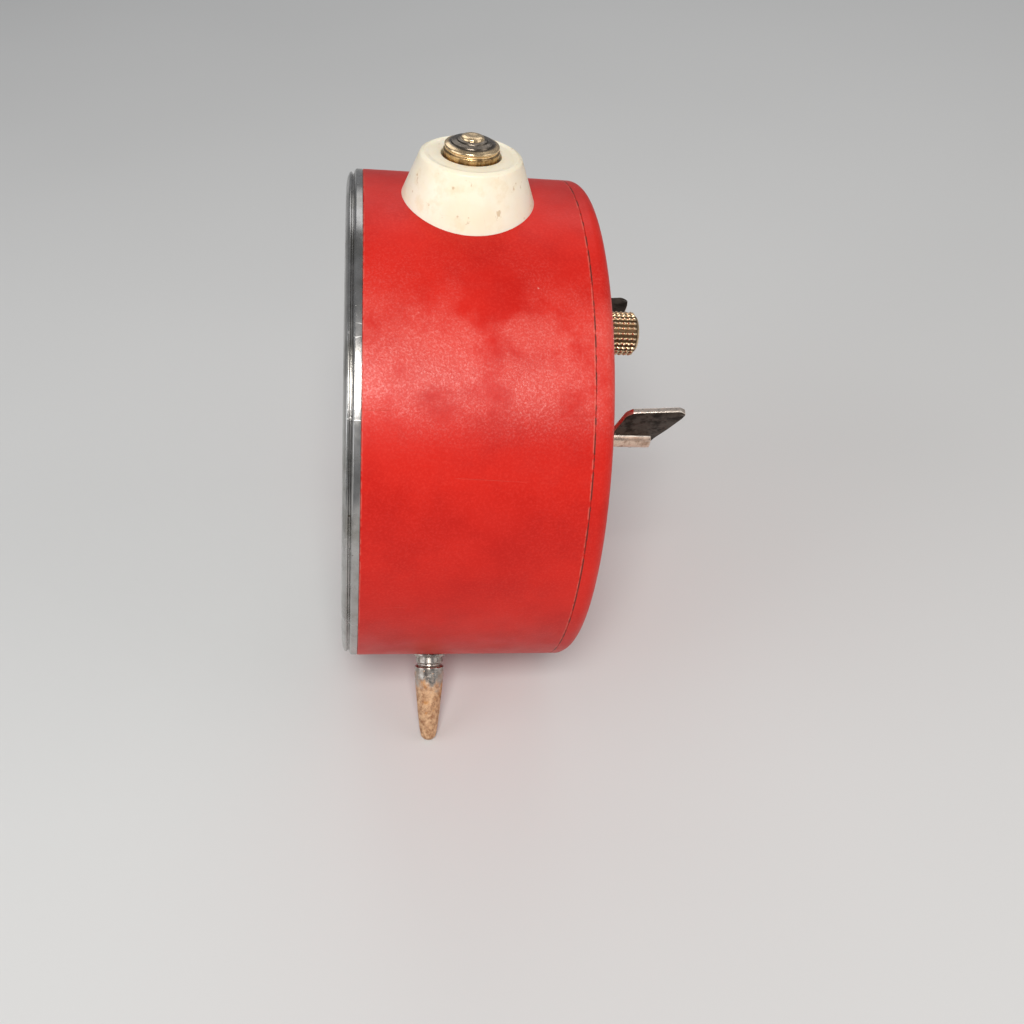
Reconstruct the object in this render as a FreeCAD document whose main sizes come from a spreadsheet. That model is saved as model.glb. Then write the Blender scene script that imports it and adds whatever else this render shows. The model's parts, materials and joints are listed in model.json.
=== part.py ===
import FreeCAD, Part
import math
import os
import Sketcher

# A mechanical wind-up alarm clock, in millimetres.
#
# Two working frames are used, and one placement carries each of them to the part's own frame.
#   clock frame:  x to the right as seen from the front, y rearwards, z up, on the drum's axis
#   rear frame:   x to the right as seen from behind, y up, z rearwards (the depth)
# The drum stands on two legs and on the rim of its back cover, so it leans back a little.

DOC = FreeCAD.newDocument("alarm_clock")
SHEET = DOC.addObject("Spreadsheet::Sheet", "Sizes")
UP = FreeCAD.Vector(0, 0, 1)
NODES = []


class Size:
    """A length that carries its value and the sheet expression that it comes from."""

    def __init__(self, value, text=None):
        self.value = float(value)
        self.text = text or repr(float(value))
        self.bound = text is not None

    def combine(self, other, sign, value):
        other = size_of(other)
        result = Size(value(self.value, other.value), f"({self.text} {sign} {other.text})")
        result.bound = self.bound or other.bound
        return result

    def __add__(self, other):
        return self.combine(other, "+", lambda a, b: a + b)

    def __sub__(self, other):
        return self.combine(other, "-", lambda a, b: a - b)

    def __mul__(self, other):
        return self.combine(other, "*", lambda a, b: a * b)

    def __rmul__(self, other):
        return size_of(other) * self

    def __rsub__(self, other):
        return size_of(other) - self

    def __neg__(self):
        return size_of(-1) * self


def size_of(number):
    return number if isinstance(number, Size) else Size(number)


def sized(name, value):
    """Put a driving dimension in the sheet and return it as a Size."""
    sized.row += 1
    SHEET.set(f"A{sized.row}", name)
    SHEET.set(f"B{sized.row}", str(value))
    SHEET.setAlias(f"B{sized.row}", name)
    return Size(value, f"Sizes.{name}")


sized.row = 0

# ---- driving dimensions -------------------------------------------------------------------

CASE_R = sized("case_radius", 50)
CASE_DEPTH = sized("case_depth", 39.8)
WALL = sized("case_wall", 0.6)
BACK_DEPTH = sized("back_cover_face_depth", 43.6)
BACK_ROUND = sized("back_cover_rounding", 2.5)
BEZEL_FRONT = sized("bezel_front_depth", -3.1)
DIAL_DEPTH = sized("dial_face_depth", 3.5)
DIAL_R = sized("dial_radius", 46)

TOP_DEPTH = sized("button_axis_depth", 19.3)
COLLAR_BASE_R = sized("collar_base_radius", 12.1)
COLLAR_TOP_R = sized("collar_top_radius", 9.25)
COLLAR_TOP = sized("collar_top_height", 58.1)
COLLAR_HOLE_R = sized("collar_hole_radius", 5.6)
BUTTON_R = sized("button_radius", 5.3)
BUTTON_TOP = sized("button_top_height", 61.9)
BUTTON_TRAVEL = sized("button_travel", 2.5)
STEM_R = sized("button_stem_radius", 1.2)

LEG_DEPTH = sized("leg_axis_depth", 15.4)
LEG_SPLAY = sized("leg_splay_degrees", 39.3)
LEG_LENGTH = sized("leg_length", 19.0)
LEG_TOP_R = sized("leg_top_radius", 3.1)
LEG_TIP_R = sized("leg_tip_radius", 1.8)
LEG_STUD_R = sized("leg_stud_radius", 1.5)

KEY_X = sized("key_axis_offset", 20)
KEY_Y = sized("key_axis_height", 10.4)
KEY_HUB_R = sized("key_hub_radius", 1.9)
KEY_HUB_END = sized("key_hub_end_depth", 56.9)
KEY_TIP_DEPTH = sized("key_wing_tip_depth", 61.7)
KEY_REACH = sized("key_wing_reach", 10.3)
KEY_SHEET = sized("key_wing_thickness", 1.1)
KNOB_X = sized("knob_axis_offset", 10)
KNOB_Y = sized("knob_axis_height", 28.1)
KNOB_R = sized("knob_radius", 4.0)
KNOB_END = sized("knob_end_depth", 53.2)
ALARM_KNOB_END = sized("alarm_knob_end_depth", 50.0)

PLATE_R = sized("plate_radius", 40.5)
PLATE_THICK = sized("plate_thickness", 1.2)
FRONT_PLATE = sized("front_plate_depth", 9.6)
BACK_PLATE = sized("back_plate_depth", 27)
PIVOT_R = sized("pivot_radius", 0.6)
BEARING_GAP = sized("bearing_gap", 0.05)
PILLAR_R = sized("pillar_radius", 2.0)
THREAD_R = sized("pillar_thread_radius", 1.0)
NUT_R = sized("pillar_nut_radius", 2.3)
NUT_THICK = sized("pillar_nut_thickness", 0.9)
WHEEL_THICK = sized("wheel_thickness", 1.0)
BELL_Y = sized("bell_axis_height", -22)
BELL_R = sized("bell_radius", 17)
BELL_MOUTH = sized("bell_mouth_depth", 32.8)
BELL_BACK = sized("bell_back_depth", 41.4)
DOC.recompute()

# ---- standing position ----------------------------------------------------------------------


def standing_lean():
    """The angle at which the leg tips and the rounded rim of the back cover touch one plane."""
    splay = math.radians(LEG_SPLAY.value)
    tip_height = CASE_R.value * math.cos(splay) + (LEG_LENGTH.value - LEG_TIP_R.value) * math.cos(splay)
    rim_depth = BACK_DEPTH.value - BACK_ROUND.value
    rim_height = CASE_R.value - BACK_ROUND.value
    run = rim_depth - LEG_DEPTH.value
    rise = tip_height - rim_height
    difference = LEG_TIP_R.value - BACK_ROUND.value
    return math.atan2(rise, run) + math.asin(difference / math.hypot(run, rise))


LEAN = standing_lean()
RIM_Z = (CASE_R.value - BACK_ROUND.value) * math.cos(LEAN)
RIM_DROP = (BACK_DEPTH.value - BACK_ROUND.value) * math.sin(LEAN)
STAND_HEIGHT = RIM_Z + RIM_DROP + BACK_ROUND.value


def leaned_y(depth, height):
    return depth * math.cos(LEAN) + height * math.sin(LEAN)


TIME_KEY_TURN = 113
ALARM_KEY_TURN = 15
KEY_TIP_Y = KEY_Y.value + KEY_REACH.value * math.sin(math.radians(TIME_KEY_TURN))
FRONT_Y = leaned_y(BEZEL_FRONT.value, -CASE_R.value + 3)
REAR_Y = leaned_y(KEY_TIP_DEPTH.value, KEY_TIP_Y)
MIDDLE_Y = (FRONT_Y + REAR_Y) / 2

CLOCK = FreeCAD.Placement(
    FreeCAD.Vector(0, -MIDDLE_Y, STAND_HEIGHT),
    FreeCAD.Rotation(FreeCAD.Vector(1, 0, 0), -math.degrees(LEAN)),
)
REAR = CLOCK * FreeCAD.Placement(FreeCAD.Matrix(-1, 0, 0, 0, 0, 0, 1, 0, 0, 1, 0, 0, 0, 0, 0, 1))


def value_of(number):
    return size_of(number).value


def at(x=0, y=0, depth=0, turn=0):
    """A place in the rear frame, turned about its depth axis by an angle in degrees."""
    centre = FreeCAD.Vector(value_of(x), value_of(y), value_of(depth))
    return REAR * FreeCAD.Placement(centre, FreeCAD.Rotation(UP, turn))


def upright(x=0, depth=0, height=0, axis=FreeCAD.Vector(0, 1, 0), turn=0):
    """A place in the clock frame, turned about an axis by an angle in degrees."""
    centre = FreeCAD.Vector(value_of(x), value_of(depth), value_of(height))
    return CLOCK * FreeCAD.Placement(centre, FreeCAD.Rotation(axis, turn))


def polar(centre, distance, degrees):
    angle = math.radians(degrees)
    return (centre[0] + distance * math.cos(angle), centre[1] + distance * math.sin(angle))


# ---- building helpers -------------------------------------------------------------------------


def bind(thing, name, number):
    number = size_of(number)
    if number.bound:
        thing.setExpression(name, number.text)
    else:
        setattr(thing, name, number.value)


def node(thing, name, place):
    thing.Label = name
    thing.Placement = place
    NODES.append(thing)
    return thing


def new_sketch(owner, role):
    sketch = owner.newObject("Sketcher::SketchObject", "Sketch")
    plane = [item for item in owner.Origin.OriginFeatures if item.Role == role][0]
    sketch.AttachmentSupport = [(plane, "")]
    sketch.MapMode = "FlatFace"
    return sketch


def fix_point(sketch, line, x, y):
    """Hold the start of a line at a place given by two sizes."""
    for kind, number in (("DistanceX", size_of(x)), ("DistanceY", size_of(y))):
        if abs(number.value) < 1e-9:
            axis = -2 if kind == "DistanceX" else -1
            sketch.addConstraint(Sketcher.Constraint("PointOnObject", line, 1, axis))
            continue
        index = sketch.addConstraint(Sketcher.Constraint(kind, -1, 1, line, 1, number.value))
        if number.bound:
            sketch.setExpression(f"Constraints[{index}]", number.text)


def draw_outline(sketch, points):
    """Draw a closed outline of straight lines, each corner held by its sizes."""
    first = sketch.GeometryCount
    corners = [FreeCAD.Vector(value_of(x), value_of(y), 0) for x, y in points]
    count = len(corners)
    for index, corner in enumerate(corners):
        sketch.addGeometry(Part.LineSegment(corner, corners[(index + 1) % count]))
    for index in range(count):
        follower = first + (index + 1) % count
        sketch.addConstraint(Sketcher.Constraint("Coincident", first + index, 2, follower, 1))
    for index, (x, y) in enumerate(points):
        fix_point(sketch, first + index, x, y)


def turned_body(points):
    """A body turned about its own Z axis from (radius, depth) corners."""
    body = DOC.addObject("PartDesign::Body", "Body")
    sketch = new_sketch(body, "XZ_Plane")
    draw_outline(sketch, points)
    turn = body.newObject("PartDesign::Revolution", "Turn")
    turn.Profile = sketch
    turn.ReferenceAxis = (sketch, ["V_Axis"])
    turn.Angle = 360
    return body


def padded_body(points, thickness):
    """A body padded along its own Z axis from an outline in its XY plane."""
    body = DOC.addObject("PartDesign::Body", "Body")
    sketch = new_sketch(body, "XY_Plane")
    draw_outline(sketch, points)
    pad = body.newObject("PartDesign::Pad", "Pad")
    pad.Profile = sketch
    bind(pad, "Length", thickness)
    return body


def rounded(body, radius, chosen):
    """Round the circular edges of a body at the chosen (radius, depth) pairs."""
    DOC.recompute()
    base = body.Tip
    names = []
    for index, edge in enumerate(base.Shape.Edges, 1):
        if not isinstance(edge.Curve, Part.Circle):
            continue
        for edge_r, depth in chosen:
            near_r = abs(edge.Curve.Radius - value_of(edge_r)) < 1e-3
            if near_r and abs(edge.Curve.Center.z - value_of(depth)) < 1e-3:
                names.append(f"Edge{index}")
    fillet = body.newObject("PartDesign::Fillet", "Round")
    fillet.Base = (base, names)
    bind(fillet, "Radius", radius)
    body.Tip = fillet
    return body


def stepped_body(start, steps, bore=0):
    """A turned bar of (radius, end depth) steps, with an optional bore right through."""
    points = [(bore, start)]
    depth = start
    for radius, end in steps:
        points.append((radius, depth))
        points.append((radius, end))
        depth = end
    points.append((bore, depth))
    return turned_body(points)


def cylinder(radius, length, base=(0, 0, 0), axis=UP):
    thing = DOC.addObject("Part::Cylinder", "Cylinder")
    bind(thing, "Radius", radius)
    bind(thing, "Height", length)
    where = FreeCAD.Vector(*[value_of(part) for part in base])
    thing.Placement = FreeCAD.Placement(where, FreeCAD.Rotation(UP, axis))
    return thing


def cut(base, tools):
    """The base with every tool taken away."""
    gathered = tools[0]
    if len(tools) > 1:
        gathered = DOC.addObject("Part::MultiFuse", "Tools")
        gathered.Shapes = tools
    result = DOC.addObject("Part::Cut", "Cut")
    result.Base = base
    result.Tool = gathered
    return result


def fused(things):
    result = DOC.addObject("Part::MultiFuse", "Fusion")
    result.Shapes = things
    return result


def group(things):
    """Separate solids that share one node."""
    result = DOC.addObject("Part::Compound", "Group")
    result.Links = things
    return result


# ---- toothed wheels ---------------------------------------------------------------------------

ADDENDUM = 0.8
DEDENDUM = 1.2
PITCH_SHARE = 0.36
TIP_SHARE = 0.14


def tooth_outline(teeth, module):
    """One straight-sided tooth on the X axis, from under the rim to the tip."""
    pitch_r = module * teeth / 2
    half_pitch = PITCH_SHARE * math.pi * module / 2
    half_tip = TIP_SHARE * math.pi * module / 2
    slope = (half_pitch - half_tip) / (ADDENDUM * module)
    foot_r = pitch_r - (DEDENDUM + 0.15) * module
    half_foot = half_pitch + slope * (pitch_r - foot_r)
    tip_r = pitch_r + ADDENDUM * module
    return [(foot_r, -half_foot), (tip_r, -half_tip), (tip_r, half_tip), (foot_r, half_foot)]


def toothed_body(teeth, module, thickness, bore, spokes=0):
    """A wheel with straight-sided teeth, the first of them on the X axis."""
    root_r = module * teeth / 2 - DEDENDUM * module
    body = turned_body([(bore, 0), (root_r, 0), (root_r, thickness), (bore, thickness)])
    tooth = new_sketch(body, "XY_Plane")
    draw_outline(tooth, tooth_outline(teeth, module))
    pad = body.newObject("PartDesign::Pad", "Tooth")
    pad.Profile = tooth
    bind(pad, "Length", thickness)
    ring = body.newObject("PartDesign::PolarPattern", "Teeth")
    ring.Originals = [pad]
    ring.Axis = (tooth, ["N_Axis"])
    ring.Angle = 360
    ring.Occurrences = teeth
    body.Tip = ring
    if not spokes:
        return body
    rim_r = root_r - 2.2 * module
    hub_r = value_of(bore) + 1.8
    half_window = math.pi / spokes - 1.1 / rim_r
    turns = [index * 360 / spokes for index in range(spokes)]
    windows = [window(hub_r, rim_r, half_window, thickness, turn) for turn in turns]
    return cut(body, windows)


def window(inner_r, outer_r, half_angle, thickness, turn):
    """A ring sector that is cut from a wheel between two of its spokes."""
    inner_half = max(half_angle - 1.1 / inner_r + 1.1 / outer_r, 0.2)
    corners = [
        polar((0, 0), inner_r, -math.degrees(inner_half)),
        polar((0, 0), outer_r, -math.degrees(half_angle)),
        polar((0, 0), outer_r, 0),
        polar((0, 0), outer_r, math.degrees(half_angle)),
        polar((0, 0), inner_r, math.degrees(inner_half)),
        polar((0, 0), inner_r, 0),
    ]
    points = [FreeCAD.Vector(x, y, -1) for x, y in corners]
    edges = [
        Part.LineSegment(points[0], points[1]).toShape(),
        Part.Arc(points[1], points[2], points[3]).toShape(),
        Part.LineSegment(points[3], points[4]).toShape(),
        Part.Arc(points[4], points[5], points[0]).toShape(),
    ]
    feature = DOC.addObject("Part::Feature", "Window")
    feature.Shape = Part.Face(Part.Wire(edges)).extrude(UP * (value_of(thickness) + 2))
    feature.Placement = FreeCAD.Placement(FreeCAD.Vector(), FreeCAD.Rotation(UP, turn))
    return feature


def mesh_phase(phase, teeth, next_teeth, line):
    """The turn of the next wheel that puts its gap on a tooth of the first, in degrees."""
    return line + 180 - (phase - line) * teeth / next_teeth - 180 / next_teeth


def direction(start, end):
    return math.degrees(math.atan2(end[1] - start[1], end[0] - start[0]))


# ---- train layout, in the rear frame --------------------------------------------------------

CENTRE = (0.0, 0.0)
CANNON_BORE = 1.0
CENTRE_FRONT_R = 1.2
HOUR_PIPE_R, HOUR_HAND_DEPTH = 2.2, 1.45
ALARM_PIPE_R, ALARM_HAND_DEPTH = 2.8, 2.35
SETTING_R = 0.8
WINDING_R = 1.9
WINDING_BODY_R = 1.8
KEY_SQUARE_R = 1.2
SETTING_END_R = 1.2
SETTING_REACH = 4
KNOB_RIBS = 24
RIB_INSET = 0.8
GREAT_DEPTH, GREAT_THICK = 13.2, 1.2
RATCHET_R, RATCHET_THICK, RATCHET_DEPTH, RATCHET_TEETH = 5.2, 0.9, 14.7, 12
CLICK_POST_R = 0.6
ALARM_WHEEL_DEPTH = 4.7
VERGE_R = 0.9
TIME_WIND = (-KEY_X.value, KEY_Y.value)
ALARM_WIND = (KEY_X.value, KEY_Y.value)
TIME_SET = (-KNOB_X.value, KNOB_Y.value)
ALARM_SET = (KNOB_X.value, KNOB_Y.value)

GREAT_TEETH, CENTRE_PINION = 70, 14
GREAT_MODULE = 2 * math.hypot(*TIME_WIND) / (GREAT_TEETH + CENTRE_PINION)
CENTRE_TEETH, THIRD_PINION, CENTRE_MODULE = 64, 8, 0.5
THIRD_TEETH, FOURTH_PINION, THIRD_MODULE = 60, 8, 0.45
FOURTH_TEETH, ESCAPE_PINION, FOURTH_MODULE = 64, 8, 0.4
ESCAPE_TEETH, ESCAPE_R = 15, 8.0
CANNON_TEETH, MINUTE_TEETH, SET_TEETH, MOTION_MODULE = 12, 36, 36, 0.5
MINUTE_PINION, HOUR_TEETH, HOUR_MODULE = 10, 40, 0.48
ALARM_GREAT_TEETH, ALARM_ESCAPE_PINION, ALARM_MODULE = 62, 8, 0.4
ALARM_DIAL_TEETH, ALARM_SET_TEETH = 60, 40
ALARM_SET_MODULE = 2 * math.hypot(*ALARM_SET) / (ALARM_DIAL_TEETH + ALARM_SET_TEETH)


def centre_distance(teeth, next_teeth, module):
    return module * (teeth + next_teeth) / 2


THIRD_LINE, FOURTH_LINE, ESCAPE_LINE = 240, 350, 30
ALARM_ESCAPE_LINE = 340
THIRD = polar(CENTRE, centre_distance(CENTRE_TEETH, THIRD_PINION, CENTRE_MODULE), THIRD_LINE)
FOURTH = polar(THIRD, centre_distance(THIRD_TEETH, FOURTH_PINION, THIRD_MODULE), FOURTH_LINE)
ESCAPE = polar(FOURTH, centre_distance(FOURTH_TEETH, ESCAPE_PINION, FOURTH_MODULE), ESCAPE_LINE)
PALLET = polar(ESCAPE, 10.5, 315)
BALANCE = polar(PALLET, 12.2, 251)
ALARM_REACH = centre_distance(ALARM_GREAT_TEETH, ALARM_ESCAPE_PINION, ALARM_MODULE)
ALARM_ESCAPE = polar(ALARM_WIND, ALARM_REACH, ALARM_ESCAPE_LINE)
VERGE = polar(ALARM_ESCAPE, 7.4, 290)


def minute_wheel_place():
    """The point that meshes with both the cannon pinion and the hand-setting wheel."""
    near = centre_distance(CANNON_TEETH, MINUTE_TEETH, MOTION_MODULE)
    far = centre_distance(MINUTE_TEETH, SET_TEETH, MOTION_MODULE)
    span = math.hypot(*TIME_SET)
    along = (near ** 2 - far ** 2 + span ** 2) / (2 * span)
    side = math.degrees(math.acos(along / near))
    return polar(CENTRE, near, direction(CENTRE, TIME_SET) - side)


MINUTE = minute_wheel_place()
PILLARS = [polar(CENTRE, 37, angle) for angle in (105, 55, -20, -90, 215)]
COVER_POSTS = [polar(CENTRE, 37, angle) for angle in (90, 200, 352)]
DIAL_FEET = [polar(CENTRE, 38.5, angle) for angle in (94, 190, 310)]
BELL = (0, BELL_Y.value)
HAMMER = polar(BELL, 20.6, 18)
STOP_LEVER = (13.4, 34.4)
REGULATOR_REACH, REGULATOR_LINE, REGULATOR_SWING = 8.5, 20, 24
CLICK_REACH, CLICK_LINE = 8.2, 90

# ---- case ---------------------------------------------------------------------------------------


def leg_direction(side):
    splay = math.radians(LEG_SPLAY.value)
    return FreeCAD.Vector(side * math.sin(splay), -math.cos(splay), 0)


def make_case_band():
    outer = cylinder(CASE_R, CASE_DEPTH)
    tools = [cylinder(CASE_R - WALL, CASE_DEPTH + 2, (0, 0, -1))]
    stem = cylinder(STEM_R + 0.3, 10, (0, CASE_R - 5, TOP_DEPTH), FreeCAD.Vector(0, 1, 0))
    tools.append(stem)
    for side in (-1, 1):
        start = leg_direction(side) * (CASE_R.value - 5)
        tools.append(cylinder(LEG_STUD_R, 10, (start.x, start.y, LEG_DEPTH), leg_direction(side)))
    node(cut(outer, tools), "case_band", at())


def make_back_cover():
    inner_r = CASE_R - WALL - 0.05
    points = [
        (0, BACK_DEPTH - 0.7),
        (CASE_R - 1.3, BACK_DEPTH - 0.7),
        (CASE_R - 1.3, CASE_DEPTH - 2.8),
        (inner_r, CASE_DEPTH - 2.8),
        (inner_r, CASE_DEPTH),
        (CASE_R, CASE_DEPTH),
        (CASE_R, BACK_DEPTH),
        (0, BACK_DEPTH),
    ]
    shell = rounded(turned_body(points), BACK_ROUND, [(CASE_R, BACK_DEPTH)])
    rounded(shell, BACK_ROUND - 0.7, [(CASE_R - 1.3, BACK_DEPTH - 0.7)])
    depth = BACK_DEPTH - 2
    holes = []
    for side in (-1, 1):
        holes.append(cylinder(KEY_HUB_R + 0.4, 4, (side * KEY_X.value, KEY_Y, depth)))
        holes.append(cylinder(1.6, 4, (side * KNOB_X.value, KNOB_Y, depth)))
    for index in range(8):
        x, y = polar(BELL, 9, index * 45 + 22.5)
        holes.append(cylinder(1.3, 4, (x, y, depth)))
    for place in COVER_POSTS:
        holes.append(cylinder(1.05, 4, (*place, depth)))
    holes.append(regulator_slot(depth.value))
    node(cut(shell, holes), "back_cover", at())


def regulator_slot(depth):
    """The curved slot that the regulator's finger moves in."""
    half_width = 1.0
    edges = []
    for side in (-1, 1):
        radius = REGULATOR_REACH + side * half_width
        angles = [REGULATOR_LINE + REGULATOR_SWING * step for step in (side, 0, -side)]
        points = [FreeCAD.Vector(*polar((0, 0), radius, angle), 0) for angle in angles]
        edges.append(Part.Arc(*points).toShape())
    first, second = edges
    joins = [
        Part.LineSegment(first.valueAt(first.LastParameter), second.valueAt(second.FirstParameter)),
        Part.LineSegment(second.valueAt(second.LastParameter), first.valueAt(first.FirstParameter)),
    ]
    ordered = Part.sortEdges(edges + [line.toShape() for line in joins])[0]
    feature = DOC.addObject("Part::Feature", "Slot")
    feature.Shape = Part.Face(Part.Wire(ordered)).extrude(UP * 4)
    feature.Placement = FreeCAD.Placement(FreeCAD.Vector(*BALANCE, depth), FreeCAD.Rotation())
    return feature


def make_bezel():
    front = BEZEL_FRONT
    points = [
        (CASE_R - 1.3, -0.9),
        (CASE_R - 1.3, 3.0),
        (CASE_R - WALL - 0.05, 3.0),
        (CASE_R - WALL - 0.05, 0),
        (CASE_R, 0),
        (CASE_R, -1.2),
        (CASE_R - 0.35, -1.5),
        (CASE_R - 0.95, -1.65),
        (CASE_R - 0.95, -1.95),
        (CASE_R - 0.6, -2.15),
        (CASE_R - 0.75, -2.5),
        (CASE_R - 1.6, front + 0.25),
        (CASE_R - 3.0, front),
        (CASE_R - 4.6, front + 0.1),
        (CASE_R - 5.6, front + 0.5),
        (CASE_R - 5.6, front + 0.8),
        (CASE_R - 3.7, front + 0.8),
        (CASE_R - 3.7, -0.9),
    ]
    node(turned_body(points), "bezel", at())


def make_crystal():
    edge_r = CASE_R - 3.75
    crown = BEZEL_FRONT + 0.1
    edge = BEZEL_FRONT + 0.85
    dome = [(0.0, crown), (0.35, crown + 0.07), (0.7, crown + 0.33)]
    front = [(edge_r * share, depth) for share, depth in dome]
    back = [(edge_r * share, depth + 1.0) for share, depth in reversed(dome)]
    node(turned_body(front + [(edge_r, edge), (edge_r, edge + 1.0)] + back), "crystal", at())


def make_dial():
    ring = [
        (CASE_R - 3.75, BEZEL_FRONT + 1.9),
        (CASE_R - 3.75, DIAL_DEPTH - 0.02),
        (CASE_R - 6.2, DIAL_DEPTH - 0.02),
        (CASE_R - 4.9, BEZEL_FRONT + 1.9),
    ]
    node(turned_body(ring), "dial_ring", at())
    thick = 0.5
    disc = turned_body([(3.3, 0), (DIAL_R, 0), (DIAL_R, thick), (3.3, thick)])
    feet = [cylinder(1.0, FRONT_PLATE - DIAL_DEPTH - thick, (*place, thick)) for place in DIAL_FEET]
    node(fused([disc] + feet), "dial", at(depth=DIAL_DEPTH))


def make_cover_screws():
    """Three posts from the back plate to the cover, each with its screw."""
    start = BACK_PLATE + PLATE_THICK
    posts = []
    screws = []
    for place in COVER_POSTS:
        post = stepped_body(0, [(2.2, BACK_DEPTH - 0.7 - start)], 1.0)
        post.Placement = FreeCAD.Placement(FreeCAD.Vector(*place, start.value), FreeCAD.Rotation())
        posts.append(post)
        screw = stepped_body(-5, [(0.98, 0.7), (2.0, 1.7)])
        slot = DOC.addObject("Part::Box", "Slot")
        slot.Length, slot.Width, slot.Height = 5, 0.5, 1
        slot.Placement = FreeCAD.Placement(FreeCAD.Vector(-2.5, -0.25, 1.2), FreeCAD.Rotation())
        slotted = cut(screw, [slot])
        seat = FreeCAD.Vector(*place, BACK_DEPTH.value - 0.7)
        slotted.Placement = FreeCAD.Placement(seat, FreeCAD.Rotation(UP, 30 * len(screws)))
        screws.append(slotted)
    node(group(posts), "cover_posts", at())
    node(group(screws), "cover_screws", at())


# ---- button on top -----------------------------------------------------------------------------


def make_collar():
    base_height = CASE_R - 3
    slope = (COLLAR_BASE_R.value - COLLAR_TOP_R.value) / (COLLAR_TOP.value - CASE_R.value)
    low_r = COLLAR_BASE_R + 3 * slope
    points = [
        (COLLAR_HOLE_R, base_height),
        (low_r, base_height),
        (COLLAR_TOP_R + 0.2, COLLAR_TOP - 0.5),
        (COLLAR_TOP_R - 0.4, COLLAR_TOP),
        (COLLAR_HOLE_R, COLLAR_TOP - 0.35),
    ]
    cone = turned_body(points)
    drum = cylinder(CASE_R + 0.02, 60, (0, -30, 0), FreeCAD.Vector(0, 1, 0))
    node(cut(cone, [drum]), "button_collar", upright(depth=TOP_DEPTH))


def make_button():
    top = BUTTON_TOP
    points = [
        (0, top - 6.4),
        (BUTTON_R, top - 6.4),
        (BUTTON_R + 0.15, top - 4.2),
        (BUTTON_R + 0.15, top - 2.95),
        (BUTTON_R - 0.15, top - 2.8),
        (BUTTON_R - 0.15, top - 2.6),
        (BUTTON_R, top - 2.3),
        (BUTTON_R - 0.35, top - 1.95),
        (BUTTON_R - 1.0, top - 1.75),
        (BUTTON_R - 1.15, top - 1.45),
        (BUTTON_R - 2.3, top - 1.1),
        (BUTTON_R - 2.45, top - 0.85),
        (BUTTON_R - 3.2, top - 0.6),
        (BUTTON_R - 3.3, top - 0.15),
        (BUTTON_R - 3.8, top),
        (0, top),
    ]
    node(turned_body(points), "stop_button", upright(depth=TOP_DEPTH))
    under = BUTTON_TOP - 6.4
    clip_height = CASE_R - WALL - 1.6
    stem = stepped_body(42.5, [(STEM_R, clip_height - 0.3), (0.9, clip_height + 0.5), (STEM_R, under)])
    clip = stepped_body(clip_height - 0.25, [(2.4, clip_height + 0.45)], 0.9)
    node(group([stem, clip]), "button_stem", upright(depth=TOP_DEPTH))


def make_button_spring():
    length = BUTTON_TOP.value - 6.4 - CASE_R.value
    wire_r = 0.3
    helix = DOC.addObject("Part::Helix", "Coil")
    helix.Pitch = (length - 2 * wire_r) / 4
    helix.Height = length - 2 * wire_r
    helix.Radius = 2.6
    ring = DOC.addObject("Part::Circle", "Wire")
    ring.Radius = wire_r
    ring.Placement = FreeCAD.Placement(
        FreeCAD.Vector(2.6, 0, 0), FreeCAD.Rotation(FreeCAD.Vector(1, 0, 0), 90)
    )
    sweep = DOC.addObject("Part::Sweep", "Spring")
    sweep.Sections = [ring]
    sweep.Spine = (helix, ["Edge1"])
    sweep.Solid = True
    sweep.Frenet = True
    node(sweep, "button_spring", upright(depth=TOP_DEPTH, height=CASE_R + wire_r))


def make_stop_lever():
    """The lever under the stem, turning between the plates."""
    arm = padded_body([(-14.5, -0.8), (1.5, -1.4), (1.5, 1.4), (-14.5, 0.8)], 1.2)
    arm.Placement = FreeCAD.Placement(FreeCAD.Vector(0, 0, TOP_DEPTH.value - 0.6), FreeCAD.Rotation())
    arbor = stepped_body(FRONT_PLATE + 0.1, plain_steps(1.4))
    node(fused([arm, arbor]), "stop_lever", at(*STOP_LEVER))


# ---- legs -----------------------------------------------------------------------------------------


def make_legs():
    length = LEG_LENGTH
    points = [
        (0, -2.9),
        (LEG_STUD_R, -2.9),
        (LEG_STUD_R, 0.12),
        (LEG_TOP_R + 0.35, 0.12),
        (LEG_TOP_R + 0.35, 0.75),
        (LEG_TOP_R - 0.2, 0.8),
        (LEG_TOP_R - 0.2, 2.2),
        (LEG_TOP_R - 0.5, 2.45),
        (LEG_TOP_R - 0.5, 2.75),
        (LEG_TOP_R, 3.0),
        (LEG_TOP_R, 5.0),
        (LEG_TIP_R + 0.55, length - 5.5),
        (LEG_TIP_R, length - 1.8),
        (LEG_TIP_R * 0.86, length - 0.9),
        (LEG_TIP_R * 0.5, length - 0.24),
        (0, length),
    ]
    nuts = []
    for side, name in ((-1, "leg_left"), (1, "leg_right")):
        turn = 180 - side * LEG_SPLAY.value
        root = CASE_R.value
        splay = math.radians(LEG_SPLAY.value)
        x = side * root * math.sin(splay)
        height = -root * math.cos(splay)
        leg = turned_body(points)
        node(leg, name, upright(x, LEG_DEPTH, height, turn=turn))
        nut = cut(hexagon(2.9, 1.6), [cylinder(LEG_STUD_R, 3, (0, 0, -1))])
        inward = FreeCAD.Rotation(FreeCAD.Vector(0, 1, 0), turn)
        seat = FreeCAD.Vector(x, LEG_DEPTH.value, height) + inward.multVec(FreeCAD.Vector(0, 0, -2.45))
        nut.Placement = FreeCAD.Placement(seat, inward)
        nuts.append(nut)
    node(group(nuts), "leg_nuts", CLOCK)


def hexagon(radius, height):
    thing = DOC.addObject("Part::Prism", "Hexagon")
    thing.Polygon = 6
    bind(thing, "Circumradius", radius)
    bind(thing, "Height", height)
    return thing


# ---- movement frame -------------------------------------------------------------------------------


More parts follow.
